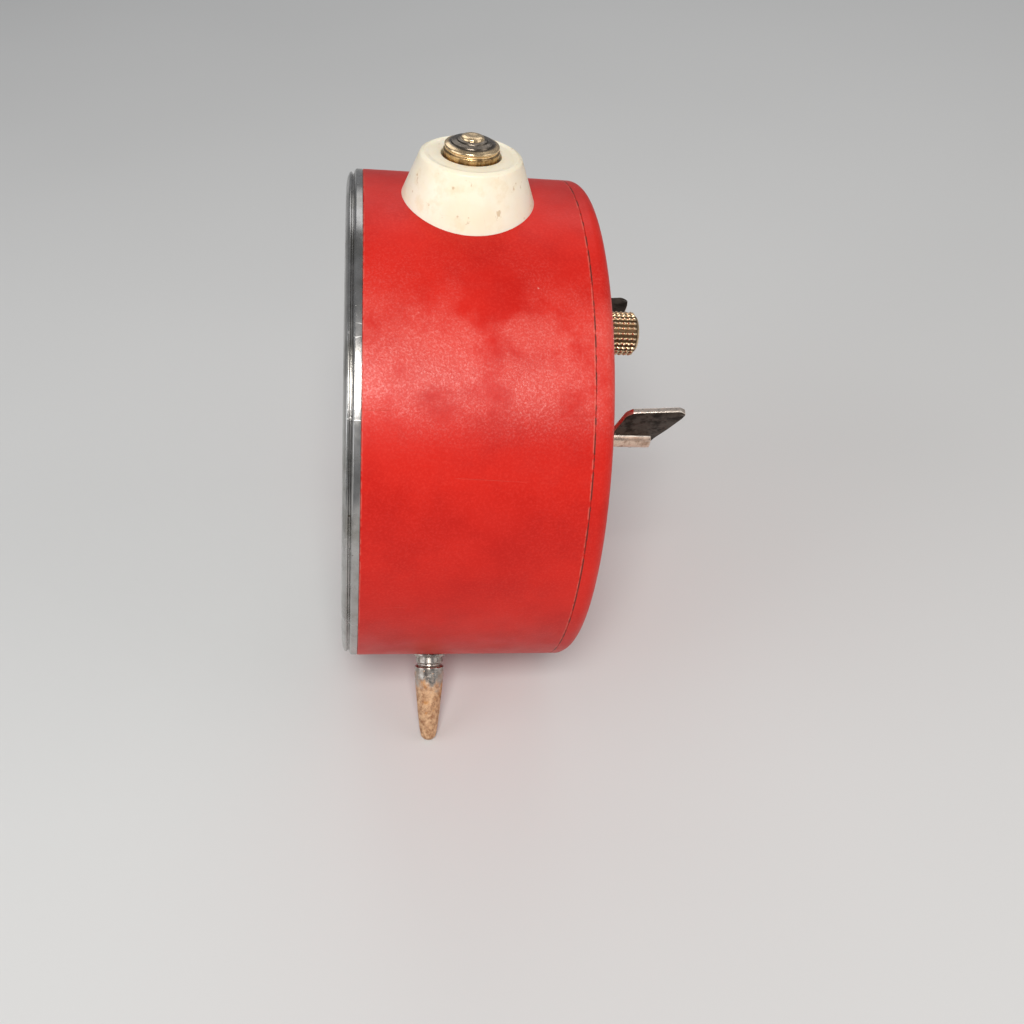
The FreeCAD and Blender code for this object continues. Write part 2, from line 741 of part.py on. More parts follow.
def bearing(place, radius=PIVOT_R):
    return cylinder(radius + BEARING_GAP, PLATE_THICK + 2, (*place, -1))


def pierced_plate(pivots, arbors):
    """A round plate with a bearing for each pivot and arbor, and the pillars' holes."""
    holes = [bearing(place) for place in pivots]
    holes += [bearing(place, Size(radius)) for place, radius in arbors]
    holes += [cylinder(THREAD_R, PLATE_THICK + 2, (*place, -1)) for place in PILLARS]
    return cut(cylinder(PLATE_R, PLATE_THICK), holes)


def make_plates():
    pivots = [THIRD, FOURTH, ESCAPE, PALLET, BALANCE, ALARM_ESCAPE, STOP_LEVER]
    setting = [(TIME_SET, SETTING_R), (ALARM_SET, SETTING_R)]
    front = pierced_plate(pivots + [TIME_WIND, ALARM_WIND, VERGE], setting + [(CENTRE, CENTRE_FRONT_R)])
    post = stepped_body(-3.7, [(0.8, -0.5), (1.5, 0)])
    post.Placement = FreeCAD.Placement(FreeCAD.Vector(*MINUTE, 0), FreeCAD.Rotation())
    node(group([front, post]), "front_plate", at(depth=FRONT_PLATE))
    winding = [(TIME_WIND, WINDING_R), (ALARM_WIND, WINDING_R), (VERGE, VERGE_R)]
    node(pierced_plate(pivots + [CENTRE], setting + winding), "back_plate", at(depth=BACK_PLATE))


def make_pillars():
    front, back = FRONT_PLATE, BACK_PLATE
    steps = [
        (THREAD_R, front + PLATE_THICK),
        (PILLAR_R, back),
        (THREAD_R, back + PLATE_THICK + NUT_THICK + 0.1),
    ]
    pillars = []
    nuts = []
    for place in PILLARS:
        pillar = stepped_body(front - NUT_THICK - 0.1, steps)
        pillar.Placement = FreeCAD.Placement(FreeCAD.Vector(*place, 0), FreeCAD.Rotation())
        pillars.append(pillar)
        for depth in (front - NUT_THICK, back + PLATE_THICK):
            nut = cut(hexagon(NUT_R, NUT_THICK), [cylinder(THREAD_R, 3, (0, 0, -1))])
            nut.Placement = FreeCAD.Placement(FreeCAD.Vector(*place, depth.value), FreeCAD.Rotation())
            nuts.append(nut)
    node(group(pillars), "pillars", at())
    node(group(nuts), "pillar_nuts", at())


# ---- springs of flat strip ------------------------------------------------------------------------


def coil_strip(inner_r, pitch, thickness, half_turns, height):
    """A flat spiral made of half circles whose radius grows by half a pitch each."""
    sides = []
    for offset in (thickness / 2, -thickness / 2):
        edges = []
        radius = inner_r
        centre = 0.0
        for index in range(half_turns):
            sign = 1 if index % 2 == 0 else -1
            size = radius + offset
            start = FreeCAD.Vector(centre + sign * size, 0, 0)
            middle = FreeCAD.Vector(centre, sign * size, 0)
            end = FreeCAD.Vector(centre - sign * size, 0, 0)
            edges.append(Part.Arc(start, middle, end).toShape())
            centre += sign * pitch / 2
            radius += pitch / 2
        sides.append(edges)
    outer, inner = sides
    starts = [side[0].valueAt(side[0].FirstParameter) for side in sides]
    ends = [side[-1].valueAt(side[-1].LastParameter) for side in sides]
    joins = [Part.LineSegment(*starts).toShape(), Part.LineSegment(*ends).toShape()]
    edges = Part.sortEdges(outer + inner + joins)[0]
    return Part.Face(Part.Wire(edges)).extrude(UP * height)


def strip_node(name, shape, place):
    feature = DOC.addObject("Part::Feature", "Strip")
    feature.Shape = shape
    node(feature, name, place)


def make_springs():
    strip_node("time_mainspring", coil_strip(3.2, 1.0, 0.35, 18, 8.6), at(*TIME_WIND, 16.6))
    strip_node("alarm_mainspring", coil_strip(3.2, 1.0, 0.35, 16, 8.6), at(*ALARM_WIND, 16.6))
    strip_node("hairspring", coil_strip(1.4, 0.7, 0.14, 12, 0.6), at(*BALANCE, 24.0))


# ---- going train ----------------------------------------------------------------------------------


def wheel_node(name, teeth, module, bore, centre, depth):
    node(toothed_body(teeth, module, WHEEL_THICK, bore, 5), name, at(*centre, depth))


def make_arbor(name, centre, steps, pinion=None, start=None):
    """An arbor between the plates, with its pinion when it has one."""
    front = (FRONT_PLATE + 0.1) if start is None else start
    pieces = [stepped_body(front, steps)]
    if pinion:
        teeth, module, length, depth, phase = pinion
        leaves = toothed_body(teeth, module, length, 0)
        turned = FreeCAD.Rotation(UP, phase)
        leaves.Placement = FreeCAD.Placement(FreeCAD.Vector(0, 0, value_of(depth)), turned)
        pieces.append(leaves)
    shape = pieces[0] if len(pieces) == 1 else fused(pieces)
    node(shape, name, at(*centre))


def plain_steps(radius):
    """Front pivot, body and rear pivot of an arbor between the plates."""
    return [
        (PIVOT_R, FRONT_PLATE + PLATE_THICK + 0.1),
        (radius, BACK_PLATE - 0.1),
        (PIVOT_R, BACK_PLATE + PLATE_THICK + 0.2),
    ]


def make_going_train():
    great_line = direction(TIME_WIND, CENTRE)
    pinion_phase = mesh_phase(0, GREAT_TEETH, CENTRE_PINION, great_line)
    great_wheel_node("time_great_wheel", GREAT_TEETH, GREAT_MODULE, TIME_WIND)
    centre_steps = [
        (CANNON_BORE, FRONT_PLATE - 0.5),
        (CENTRE_FRONT_R, FRONT_PLATE + PLATE_THICK + 0.1),
        (1.5, BACK_PLATE - 0.1),
        (PIVOT_R, BACK_PLATE + PLATE_THICK + 0.2),
    ]
    make_arbor(
        "centre_arbor", CENTRE, centre_steps, (CENTRE_PINION, GREAT_MODULE, 2.0, 12.8, pinion_phase), 0.2
    )
    wheel_node("centre_wheel", CENTRE_TEETH, CENTRE_MODULE, 1.5, CENTRE, 11.3)

    phase = mesh_phase(0, CENTRE_TEETH, THIRD_PINION, THIRD_LINE)
    make_arbor("third_arbor", THIRD, plain_steps(0.8), (THIRD_PINION, CENTRE_MODULE, 1.6, 11.0, phase))
    wheel_node("third_wheel", THIRD_TEETH, THIRD_MODULE, 0.8, THIRD, 22.5)

    phase = mesh_phase(0, THIRD_TEETH, FOURTH_PINION, FOURTH_LINE)
    make_arbor("fourth_arbor", FOURTH, plain_steps(0.8), (FOURTH_PINION, THIRD_MODULE, 1.8, 22.1, phase))
    wheel_node("fourth_wheel", FOURTH_TEETH, FOURTH_MODULE, 0.8, FOURTH, 18.0)

    phase = mesh_phase(0, FOURTH_TEETH, ESCAPE_PINION, ESCAPE_LINE)
    make_arbor("escape_arbor", ESCAPE, plain_steps(0.8), (ESCAPE_PINION, FOURTH_MODULE, 1.8, 17.6, phase))


def make_escape_wheel():
    """Fifteen pointed teeth for the pin pallets."""
    rim_r, tip_r = 6.2, ESCAPE_R
    body = turned_body([(0.8, 0), (rim_r, 0), (rim_r, 0.8), (0.8, 0.8)])
    outline = [(rim_r - 0.2, -0.75), (tip_r, 0.45), (tip_r, 0.6), (rim_r - 0.2, 0.5)]
    add_tooth_ring(body, outline, ESCAPE_TEETH, 0.8)
    node(body, "escape_wheel", at(*ESCAPE, 14.0))


def add_tooth_ring(body, outline, count, thickness):
    sketch = new_sketch(body, "XY_Plane")
    draw_outline(sketch, outline)
    pad = body.newObject("PartDesign::Pad", "Tooth")
    pad.Profile = sketch
    pad.Length = thickness
    ring = body.newObject("PartDesign::PolarPattern", "Teeth")
    ring.Originals = [pad]
    ring.Axis = (sketch, ["N_Axis"])
    ring.Angle = 360
    ring.Occurrences = count
    body.Tip = ring


def make_pallet_fork():
    """The lever with two steel pins that let the escape wheel go tooth by tooth."""
    toward_escape = direction(PALLET, ESCAPE)
    half = [(1.3, 0), (2.6, 4.4), (2.6, 5.4), (-0.4, 4.6), (-1.6, 0)]
    other_half = [(x, -y) for x, y in reversed(half[1:-1])]
    anchor = padded_body(half + other_half, 0.8)
    anchor.Placement = FreeCAD.Placement(FreeCAD.Vector(0, 0, 15.4), FreeCAD.Rotation(UP, toward_escape))
    fork = padded_body([(0, -0.7), (7.6, -0.5), (8.9, -1.5), (8.3, 0), (8.9, 1.5), (7.6, 0.5), (0, 0.7)], 0.8)
    toward_balance = direction(PALLET, BALANCE)
    fork.Placement = FreeCAD.Placement(FreeCAD.Vector(0, 0, 15.4), FreeCAD.Rotation(UP, toward_balance))
    pins = []
    pin_reach, pin_angle = math.hypot(2.1, 4.9), math.degrees(math.atan2(4.9, 2.1))
    for side in (-1, 1):
        x, y = polar((0, 0), pin_reach, toward_escape + side * pin_angle)
        pins.append(cylinder(0.25, 2.0, (x, y, 13.8)))
    arbor = stepped_body(FRONT_PLATE + 0.1, plain_steps(0.8))
    node(fused([arbor, anchor, fork] + pins), "pallet_fork", at(*PALLET))


def make_balance():
    staff = stepped_body(FRONT_PLATE + 0.1, plain_steps(0.9))
    roller = cylinder(1.9, 0.6, (0, 0, 16.6))
    node(fused([staff, roller]), "balance_staff", at(*BALANCE))
    rim = [(7.4, 0), (8.8, 0), (8.8, 1.4), (7.4, 1.4)]
    arms = padded_body([(-7.6, -0.8), (7.6, -0.8), (7.6, 0.8), (-7.6, 0.8)], 0.7)
    arms.Placement = FreeCAD.Placement(FreeCAD.Vector(0, 0, 0.35), FreeCAD.Rotation())
    hub = cylinder(2.0, 1.2)
    wheel = cut(fused([turned_body(rim), arms, hub]), [cylinder(0.9, 4, (0, 0, -1))])
    node(wheel, "balance_wheel", at(*BALANCE, 20.6, 25))


def make_regulator():
    """The lever that sets the rate, with a finger that comes out through the back cover."""
    disc = stepped_body(0, [(3.0, 0.6)], 1.1)
    reach = REGULATOR_REACH
    arm = padded_body([(2.0, -1.0), (reach + 0.7, -0.6), (reach + 0.7, 0.6), (2.0, 1.0)], 0.6)
    start = BACK_PLATE + PLATE_THICK + 0.6
    finger = DOC.addObject("Part::Box", "Finger")
    finger.Length = 0.7
    finger.Width = 1.2
    bind(finger, "Height", BACK_DEPTH + 2.0 - start)
    finger.Placement = FreeCAD.Placement(FreeCAD.Vector(reach, -0.6, 0), FreeCAD.Rotation())
    node(fused([disc, arm, finger]), "regulator_lever", at(*BALANCE, start, REGULATOR_LINE))


# ---- motion work and hands --------------------------------------------------------------------


def hand(name, outline, bore, hub_r, depth, angle):
    """A flat hand with a round hub; the angle is clockwise from twelve as seen from the front."""
    blade = padded_body(outline, 0.3)
    hub = cylinder(hub_r, 0.3)
    node(cut(fused([blade, hub]), [cylinder(bore, 3, (0, 0, -1))]), name, at(0, 0, depth, angle))


def spear(width, length, tail):
    """A blade that widens to its belly and runs out to a point, with a short tail."""
    return [
        (-width * 0.35, -tail),
        (width * 0.35, -tail),
        (width * 0.3, 0),
        (width, length * 0.62),
        (0, length),
        (-width, length * 0.62),
        (-width * 0.3, 0),
    ]


def make_hands():
    hand("minute_hand", spear(1.7, 36, 7), CANNON_BORE, 2.4, 0.55, 54)
    hand("hour_hand", spear(2.1, 25, 6), HOUR_PIPE_R, 3.1, HOUR_HAND_DEPTH, 304.5)
    hand("alarm_hand", spear(0.8, 15, 5), ALARM_PIPE_R, 3.7, ALARM_HAND_DEPTH, 180)


def make_motion_work():
    minute_line = direction(CENTRE, MINUTE)
    minute_phase = mesh_phase(0, CANNON_TEETH, MINUTE_TEETH, minute_line)
    set_line = direction(MINUTE, TIME_SET)
    set_phase = mesh_phase(minute_phase, MINUTE_TEETH, SET_TEETH, set_line)
    hour_phase = mesh_phase(0, MINUTE_PINION, HOUR_TEETH, minute_line + 180)

    leaves = toothed_body(CANNON_TEETH, MOTION_MODULE, 1.2, 0)
    leaves.Placement = FreeCAD.Placement(FreeCAD.Vector(0, 0, 7.8), FreeCAD.Rotation())
    pipe = cylinder(1.6, 9.0 - 0.9, (0, 0, 0.9))
    node(cut(fused([leaves, pipe]), [cylinder(CANNON_BORE, 20, (0, 0, -1))]), "cannon_pinion", at())

    wheel = toothed_body(MINUTE_TEETH, MOTION_MODULE, 1.0, 0)
    wheel.Placement = FreeCAD.Placement(FreeCAD.Vector(0, 0, 7.9), FreeCAD.Rotation(UP, minute_phase))
    pinion = toothed_body(MINUTE_PINION, HOUR_MODULE, 1.9, 0)
    pinion.Placement = FreeCAD.Placement(FreeCAD.Vector(0, 0, 6.0), FreeCAD.Rotation())
    bored = cut(fused([wheel, pinion]), [cylinder(0.85, 20, (0, 0, -1))])
    node(bored, "minute_wheel", at(*MINUTE))

    wheel = toothed_body(HOUR_TEETH, HOUR_MODULE, 0.8, 0)
    wheel.Placement = FreeCAD.Placement(FreeCAD.Vector(0, 0, 6.3), FreeCAD.Rotation(UP, hour_phase))
    pipe = cylinder(HOUR_PIPE_R, 7.1 - HOUR_HAND_DEPTH, (0, 0, HOUR_HAND_DEPTH))
    node(cut(fused([wheel, pipe]), [cylinder(1.7, 20, (0, 0, -1))]), "hour_wheel", at())

    make_setting_arbor("time_set_arbor", TIME_SET, SET_TEETH, MOTION_MODULE, 7.6, set_phase)
    alarm_line = direction(CENTRE, ALARM_SET)
    phase = mesh_phase(0, ALARM_DIAL_TEETH, ALARM_SET_TEETH, alarm_line)
    make_setting_arbor("alarm_set_arbor", ALARM_SET, ALARM_SET_TEETH, ALARM_SET_MODULE, ALARM_WHEEL_DEPTH, phase)
    wheel = toothed_body(ALARM_DIAL_TEETH, ALARM_SET_MODULE, 0.7, 0)
    wheel.Placement = FreeCAD.Placement(FreeCAD.Vector(0, 0, ALARM_WHEEL_DEPTH), FreeCAD.Rotation())
    pipe = cylinder(ALARM_PIPE_R, 5.4 - ALARM_HAND_DEPTH, (0, 0, ALARM_HAND_DEPTH))
    node(cut(fused([wheel, pipe]), [cylinder(HOUR_PIPE_R + 0.1, 20, (0, 0, -1))]), "alarm_wheel", at())


def make_setting_arbor(name, centre, teeth, module, depth, phase):
    """A long arbor with its wheel under the dial, running back to a knob behind the cover."""
    steps = [(SETTING_R, BACK_DEPTH + 2.4), (SETTING_END_R, BACK_DEPTH + SETTING_REACH)]
    bar = stepped_body(depth, steps)
    wheel = toothed_body(teeth, module, 0.8, 0)
    wheel.Placement = FreeCAD.Placement(FreeCAD.Vector(0, 0, depth), FreeCAD.Rotation(UP, phase))
    node(fused([bar, wheel]), name, at(*centre))


# ---- keys, knobs and winding work ---------------------------------------------------------------


def make_knob(name, centre, end):
    """A knurled cap with a domed end and a bore for its arbor."""
    start = BACK_DEPTH + 2.0
    points = [
        (SETTING_END_R, start),
        (KNOB_R - 0.7, start),
        (KNOB_R - 0.1, start + 0.6),
        (KNOB_R - 0.1, end - 0.7),
        (KNOB_R - 0.6, end - 0.25),
        (KNOB_R * 0.5, end),
        (0, end),
        (0, BACK_DEPTH + SETTING_REACH),
        (SETTING_END_R, BACK_DEPTH + SETTING_REACH),
    ]
    body = turned_body(points)
    ribs = new_sketch(body, "XY_Plane")
    draw_outline(ribs, [(KNOB_R - 0.4, -0.3), (KNOB_R + 0.25, 0), (KNOB_R - 0.4, 0.3)])
    ribs.AttachmentOffset = FreeCAD.Placement(
        FreeCAD.Vector(0, 0, start.value + RIB_INSET), FreeCAD.Rotation()
    )
    pad = body.newObject("PartDesign::Pad", "Rib")
    pad.Profile = ribs
    bind(pad, "Length", end - start - 2 * RIB_INSET)
    ring = body.newObject("PartDesign::PolarPattern", "Ribs")
    ring.Originals = [pad]
    ring.Axis = (ribs, ["N_Axis"])
    ring.Angle = 360
    ring.Occurrences = KNOB_RIBS
    body.Tip = ring
    node(body, name, at(*centre))


def wing_outline():
    """The side view of a key's wing: reach from the axis, and depth."""
    hub_end, tip = KEY_HUB_END, KEY_TIP_DEPTH
    return [
        (-3.2, hub_end - 3.4),
        (-2.5, hub_end - 4.4),
        (KEY_REACH - 1.2, hub_end - 6.5),
        (KEY_REACH - 0.3, hub_end - 6.2),
        (KEY_REACH, hub_end - 5.3),
        (KEY_REACH + 0.9, tip - 1.3),
        (KEY_REACH + 0.6, tip - 0.3),
        (KEY_REACH - 0.3, tip),
        (KEY_REACH - 1.6, tip - 0.2),
        (0.9, hub_end + 0.9),
        (-2.4, hub_end - 0.1),
        (-3.2, hub_end - 1.1),
    ]


def make_key(prefix, centre, turn):
    """A winding key: a tube on the arbor and one flat wing that stands in its slot."""
    wing = DOC.addObject("PartDesign::Body", "Body")
    sketch = new_sketch(wing, "XZ_Plane")
    draw_outline(sketch, wing_outline())
    pad = wing.newObject("PartDesign::Pad", "Pad")
    pad.Profile = sketch
    bind(pad, "Length", KEY_SHEET)
    pad.Midplane = True
    node(wing, f"{prefix}_key_wing", at(*centre, turn=turn))
    hub = stepped_body(BACK_DEPTH + 1.4, [(KEY_HUB_R, KEY_HUB_END)], KEY_SQUARE_R)
    slot = DOC.addObject("Part::Box", "Slot")
    slot.Length = 12
    bind(slot, "Width", KEY_SHEET)
    slot.Height = 9
    slot.Placement = FreeCAD.Placement(
        FreeCAD.Vector(-6, -KEY_SHEET.value / 2, KEY_HUB_END.value - 6.5), FreeCAD.Rotation()
    )
    node(cut(hub, [slot]), f"{prefix}_key_hub", at(*centre, turn=turn))


def make_winding(prefix, centre):
    """The winding arbor, which the great wheel rides on, and its ratchet wheel."""
    steps = [
        (PIVOT_R, FRONT_PLATE + PLATE_THICK + 0.1),
        (WINDING_BODY_R, BACK_PLATE - 0.2),
        (WINDING_R - BEARING_GAP, BACK_PLATE + PLATE_THICK + 0.3),
        (KEY_SQUARE_R, KEY_HUB_END - 6.8),
    ]
    arbor = stepped_body(FRONT_PLATE + 0.1, steps)
    rim = RATCHET_R - 0.8
    ratchet = turned_body(
        [(WINDING_BODY_R, 0), (rim, 0), (rim, RATCHET_THICK), (WINDING_BODY_R, RATCHET_THICK)]
    )
    foot = rim - 0.2
    tooth = [(foot, -0.9), (RATCHET_R, 0.75), (RATCHET_R, 0.9), (foot, 0.9)]
    add_tooth_ring(ratchet, tooth, RATCHET_TEETH, RATCHET_THICK)
    ratchet.Placement = FreeCAD.Placement(FreeCAD.Vector(0, 0, RATCHET_DEPTH), FreeCAD.Rotation())
    node(group([arbor, ratchet]), f"{prefix}_winding_arbor", at(*centre))


def make_click(prefix, centre):
    """The pawl on the great wheel, drawn lifted clear of the ratchet teeth."""
    outline = [(-0.9, -1.0), (0.9, -1.0), (1.0, 0.6), (-0.5, 4.8), (-1.1, 4.9), (-0.9, 0.8)]
    finger = padded_body(outline, 0.8)
    body = cut(fused([cylinder(1.2, 0.8), finger]), [cylinder(CLICK_POST_R + 0.05, 3, (0, 0, -1))])
    place = polar(centre, CLICK_REACH, CLICK_LINE)
    node(body, f"{prefix}_click", at(*place, RATCHET_DEPTH + 0.05, CLICK_LINE))


def great_wheel_node(name, teeth, module, centre):
    """A great wheel that turns freely on its winding arbor, with the post of its click."""
    wheel = toothed_body(teeth, module, GREAT_THICK, BEARING_GAP + WINDING_BODY_R)
    wheel.Placement = FreeCAD.Placement(FreeCAD.Vector(0, 0, GREAT_DEPTH), FreeCAD.Rotation())
    post_foot = GREAT_DEPTH + GREAT_THICK
    post = stepped_body(post_foot, [(CLICK_POST_R, post_foot + 1.3)])
    post.Placement = FreeCAD.Placement(
        FreeCAD.Vector(*polar((0, 0), CLICK_REACH, CLICK_LINE), 0), FreeCAD.Rotation()
    )
    node(group([wheel, post]), name, at(*centre))


# ---- alarm work -----------------------------------------------------------------------------------


def make_alarm_train():
    great_wheel_node("alarm_great_wheel", ALARM_GREAT_TEETH, ALARM_MODULE, ALARM_WIND)
    phase = mesh_phase(0, ALARM_GREAT_TEETH, ALARM_ESCAPE_PINION, ALARM_ESCAPE_LINE)
    arbor = stepped_body(FRONT_PLATE + 0.1, plain_steps(0.7))
    leaves = toothed_body(ALARM_ESCAPE_PINION, ALARM_MODULE, 1.8, 0)
    leaves.Placement = FreeCAD.Placement(FreeCAD.Vector(0, 0, 12.9), FreeCAD.Rotation(UP, phase))
    wheel = turned_body([(0, 0), (3.6, 0), (3.6, 0.8), (0, 0.8)])
    add_tooth_ring(wheel, [(3.4, -0.5), (4.8, -0.1), (4.8, 0.1), (3.4, 0.5)], 13, 0.8)
    wheel.Placement = FreeCAD.Placement(FreeCAD.Vector(0, 0, 15.2), FreeCAD.Rotation())
    node(fused([arbor, leaves, wheel]), "alarm_escape_wheel", at(*ALARM_ESCAPE))


def make_hammer():
    """The alarm verge, its arm behind the back plate and the head that strikes the bell."""
    line = direction(VERGE, HAMMER)
    length = math.hypot(HAMMER[0] - VERGE[0], HAMMER[1] - VERGE[1])
    steps = [
        (PIVOT_R, FRONT_PLATE + PLATE_THICK + 0.1),
        (VERGE_R, BACK_PLATE + PLATE_THICK + 4.4),
    ]
    arbor = stepped_body(FRONT_PLATE + 0.1, steps)
    anchor = padded_body([(-2.6, -0.5), (2.6, -0.5), (2.6, 0.5), (-2.6, 0.5)], 0.7)
    across = direction(VERGE, ALARM_ESCAPE) + 90
    anchor.Placement = FreeCAD.Placement(FreeCAD.Vector(0, 0, 15.3), FreeCAD.Rotation(UP, across))
    arm = padded_body([(0, -0.6), (length, -0.6), (length, 0.6), (0, 0.6)], 0.8)
    start = BACK_PLATE.value + PLATE_THICK.value + 3.4
    arm.Placement = FreeCAD.Placement(FreeCAD.Vector(0, 0, start), FreeCAD.Rotation(UP, line))
    head_place = polar((0, 0), length, line)
    head = cylinder(2.0, 5.0, (*head_place, start - 0.4))
    node(fused([arbor, anchor, arm, head]), "alarm_hammer", at(*VERGE))


def make_bell():
    """A cup bell, open towards the movement, on a stud from the back plate."""
    wall = 1.3
    points = [
        (1.5, BELL_BACK - wall),
        (BELL_R - 4.5, BELL_BACK - wall),
        (BELL_R - 2.2, BELL_BACK - 2.6),
        (BELL_R - wall, BELL_MOUTH),
        (BELL_R, BELL_MOUTH),
        (BELL_R - 0.8, BELL_BACK - 2.0),
        (BELL_R - 3.4, BELL_BACK),
        (1.5, BELL_BACK),
    ]
    node(turned_body(points), "bell", at(*BELL))
    start = BACK_PLATE + PLATE_THICK
    stud = stepped_body(start, [(2.4, BELL_BACK - wall), (1.45, BELL_BACK), (2.6, BELL_BACK + 1.0)])
    node(stud, "bell_stud", at(*BELL))


# ---- assembly -------------------------------------------------------------------------------------


def build():
    make_case_band()
    make_back_cover()
    make_bezel()
    make_crystal()
    make_dial()
    make_cover_screws()
    make_collar()
    make_button()
    make_button_spring()
    make_stop_lever()
    make_legs()
    make_plates()
    make_pillars()
    make_springs()
    make_going_train()
    make_escape_wheel()
    make_pallet_fork()
    make_balance()
    make_regulator()
    make_hands()
    make_motion_work()
    make_knob("time_set_knob", TIME_SET, KNOB_END)
    make_knob("alarm_set_knob", ALARM_SET, ALARM_KNOB_END)
    for prefix, centre, turn in (("time", TIME_WIND, TIME_KEY_TURN), ("alarm", ALARM_WIND, ALARM_KEY_TURN)):
        make_winding(prefix, centre)
        make_key(prefix, centre, turn)
        make_click(prefix, centre)
    make_alarm_train()
    make_hammer()
    make_bell()


def check_and_write():
    """Stop on any failed object, then write each node's shape to its own file."""
    DOC.recompute()
    for thing in DOC.Objects:
        if "Invalid" in thing.State or "Error" in thing.State:
            raise RuntimeError(f"{thing.Name} ({thing.Label}) is {thing.State}")
    os.makedirs("parts", exist_ok=True)
    for thing in NODES:
        if thing.Shape.isNull() or not thing.Shape.isValid():
            raise RuntimeError(f"{thing.Label} has no valid shape")
        thing.Shape.exportStep(os.path.join("parts", f"{thing.Label}.step"))
        lowest = thing.Shape.BoundBox.ZMin
        count = len(thing.Shape.Solids)
        print(f"{thing.Label}: {count} solids, {thing.Shape.Volume:.1f} mm3, z {lowest:.2f}")
    print(f"{len(NODES)} nodes, lean {math.degrees(LEAN):.2f} degrees, stands {STAND_HEIGHT:.2f} high")


build()
check_and_write()
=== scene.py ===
import json
import math

import bmesh
import bpy
from mathutils import Matrix, Vector, noise


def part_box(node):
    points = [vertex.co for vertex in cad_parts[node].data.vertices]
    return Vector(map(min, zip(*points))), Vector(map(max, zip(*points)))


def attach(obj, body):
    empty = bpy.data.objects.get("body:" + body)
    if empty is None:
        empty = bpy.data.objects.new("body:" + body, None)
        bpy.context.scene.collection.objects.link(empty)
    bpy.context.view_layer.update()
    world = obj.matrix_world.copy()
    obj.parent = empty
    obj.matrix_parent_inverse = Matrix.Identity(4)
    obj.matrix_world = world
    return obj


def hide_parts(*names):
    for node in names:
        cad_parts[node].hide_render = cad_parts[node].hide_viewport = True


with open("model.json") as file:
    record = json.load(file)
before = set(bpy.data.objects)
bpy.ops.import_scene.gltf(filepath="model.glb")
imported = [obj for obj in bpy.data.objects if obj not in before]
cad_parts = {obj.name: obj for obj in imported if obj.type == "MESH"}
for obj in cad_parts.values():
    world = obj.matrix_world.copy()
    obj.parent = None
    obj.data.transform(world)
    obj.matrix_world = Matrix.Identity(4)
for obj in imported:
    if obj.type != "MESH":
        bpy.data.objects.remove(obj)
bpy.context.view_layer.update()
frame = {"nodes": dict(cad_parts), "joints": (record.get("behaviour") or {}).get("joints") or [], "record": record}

# Every piece is drawn in the drum's own frame, in metres: x to the right as seen from behind, y up
# across the drum and z rearwards, with its origin where the drum's axis meets its front edge.

MM = 0.001
JOINTS = {joint["name"]: joint for joint in frame["joints"]}


def drum_frame():
    """The drum's frame, from the axis of the hands and the front edge of the case band."""
    hands = JOINTS["hands_turn"]
    rear = Vector(hands["axis"]).normalized()
    point = Vector(hands["pos_m"])
    band = frame["nodes"]["case_band"].data.vertices
    front = min((corner.co - point).dot(rear) for corner in band)
    origin = point + rear * front
    right = Vector((-1, 0, 0))
    up = rear.cross(right)
    matrix = Matrix((right, up, rear)).transposed().to_4x4()
    matrix.translation = origin
    return matrix


DRUM = drum_frame()
TO_DRUM = DRUM.inverted()


def measure(node, centre=(0, 0)):
    """Lowest depth, highest depth and largest radius of a CAD node about an axis of the drum's frame."""
    places = [TO_DRUM @ corner.co for corner in frame["nodes"][node].data.vertices]
    depths = [place.z for place in places]
    radii = [math.hypot(place.x - centre[0], place.y - centre[1]) for place in places]
    return min(depths), max(depths), max(radii)


def joint_place(name):
    """Where a joint's axis crosses the drum's front plane."""
    place = TO_DRUM @ Vector(JOINTS[name]["pos_m"])
    return (place.x, place.y)


CASE_DEPTH, CASE_R = measure("case_band")[1:]
BACK_DEPTH = measure("back_cover")[1]
BEZEL_FRONT = measure("bezel")[0]
DIAL_DEPTH = measure("dial")[0]
TIME_KEY = joint_place("time_key_wind")
ALARM_KEY = joint_place("alarm_key_wind")
TIME_KNOB = joint_place("time_set_knob_turn")
ALARM_KNOB = joint_place("alarm_set_knob_turn")
BALANCE = joint_place("balance_swing")

OWN_PLACE = "own_place"
RING_STEPS = 384
ON_AXIS = 1e-7


# ---- shader helpers ----


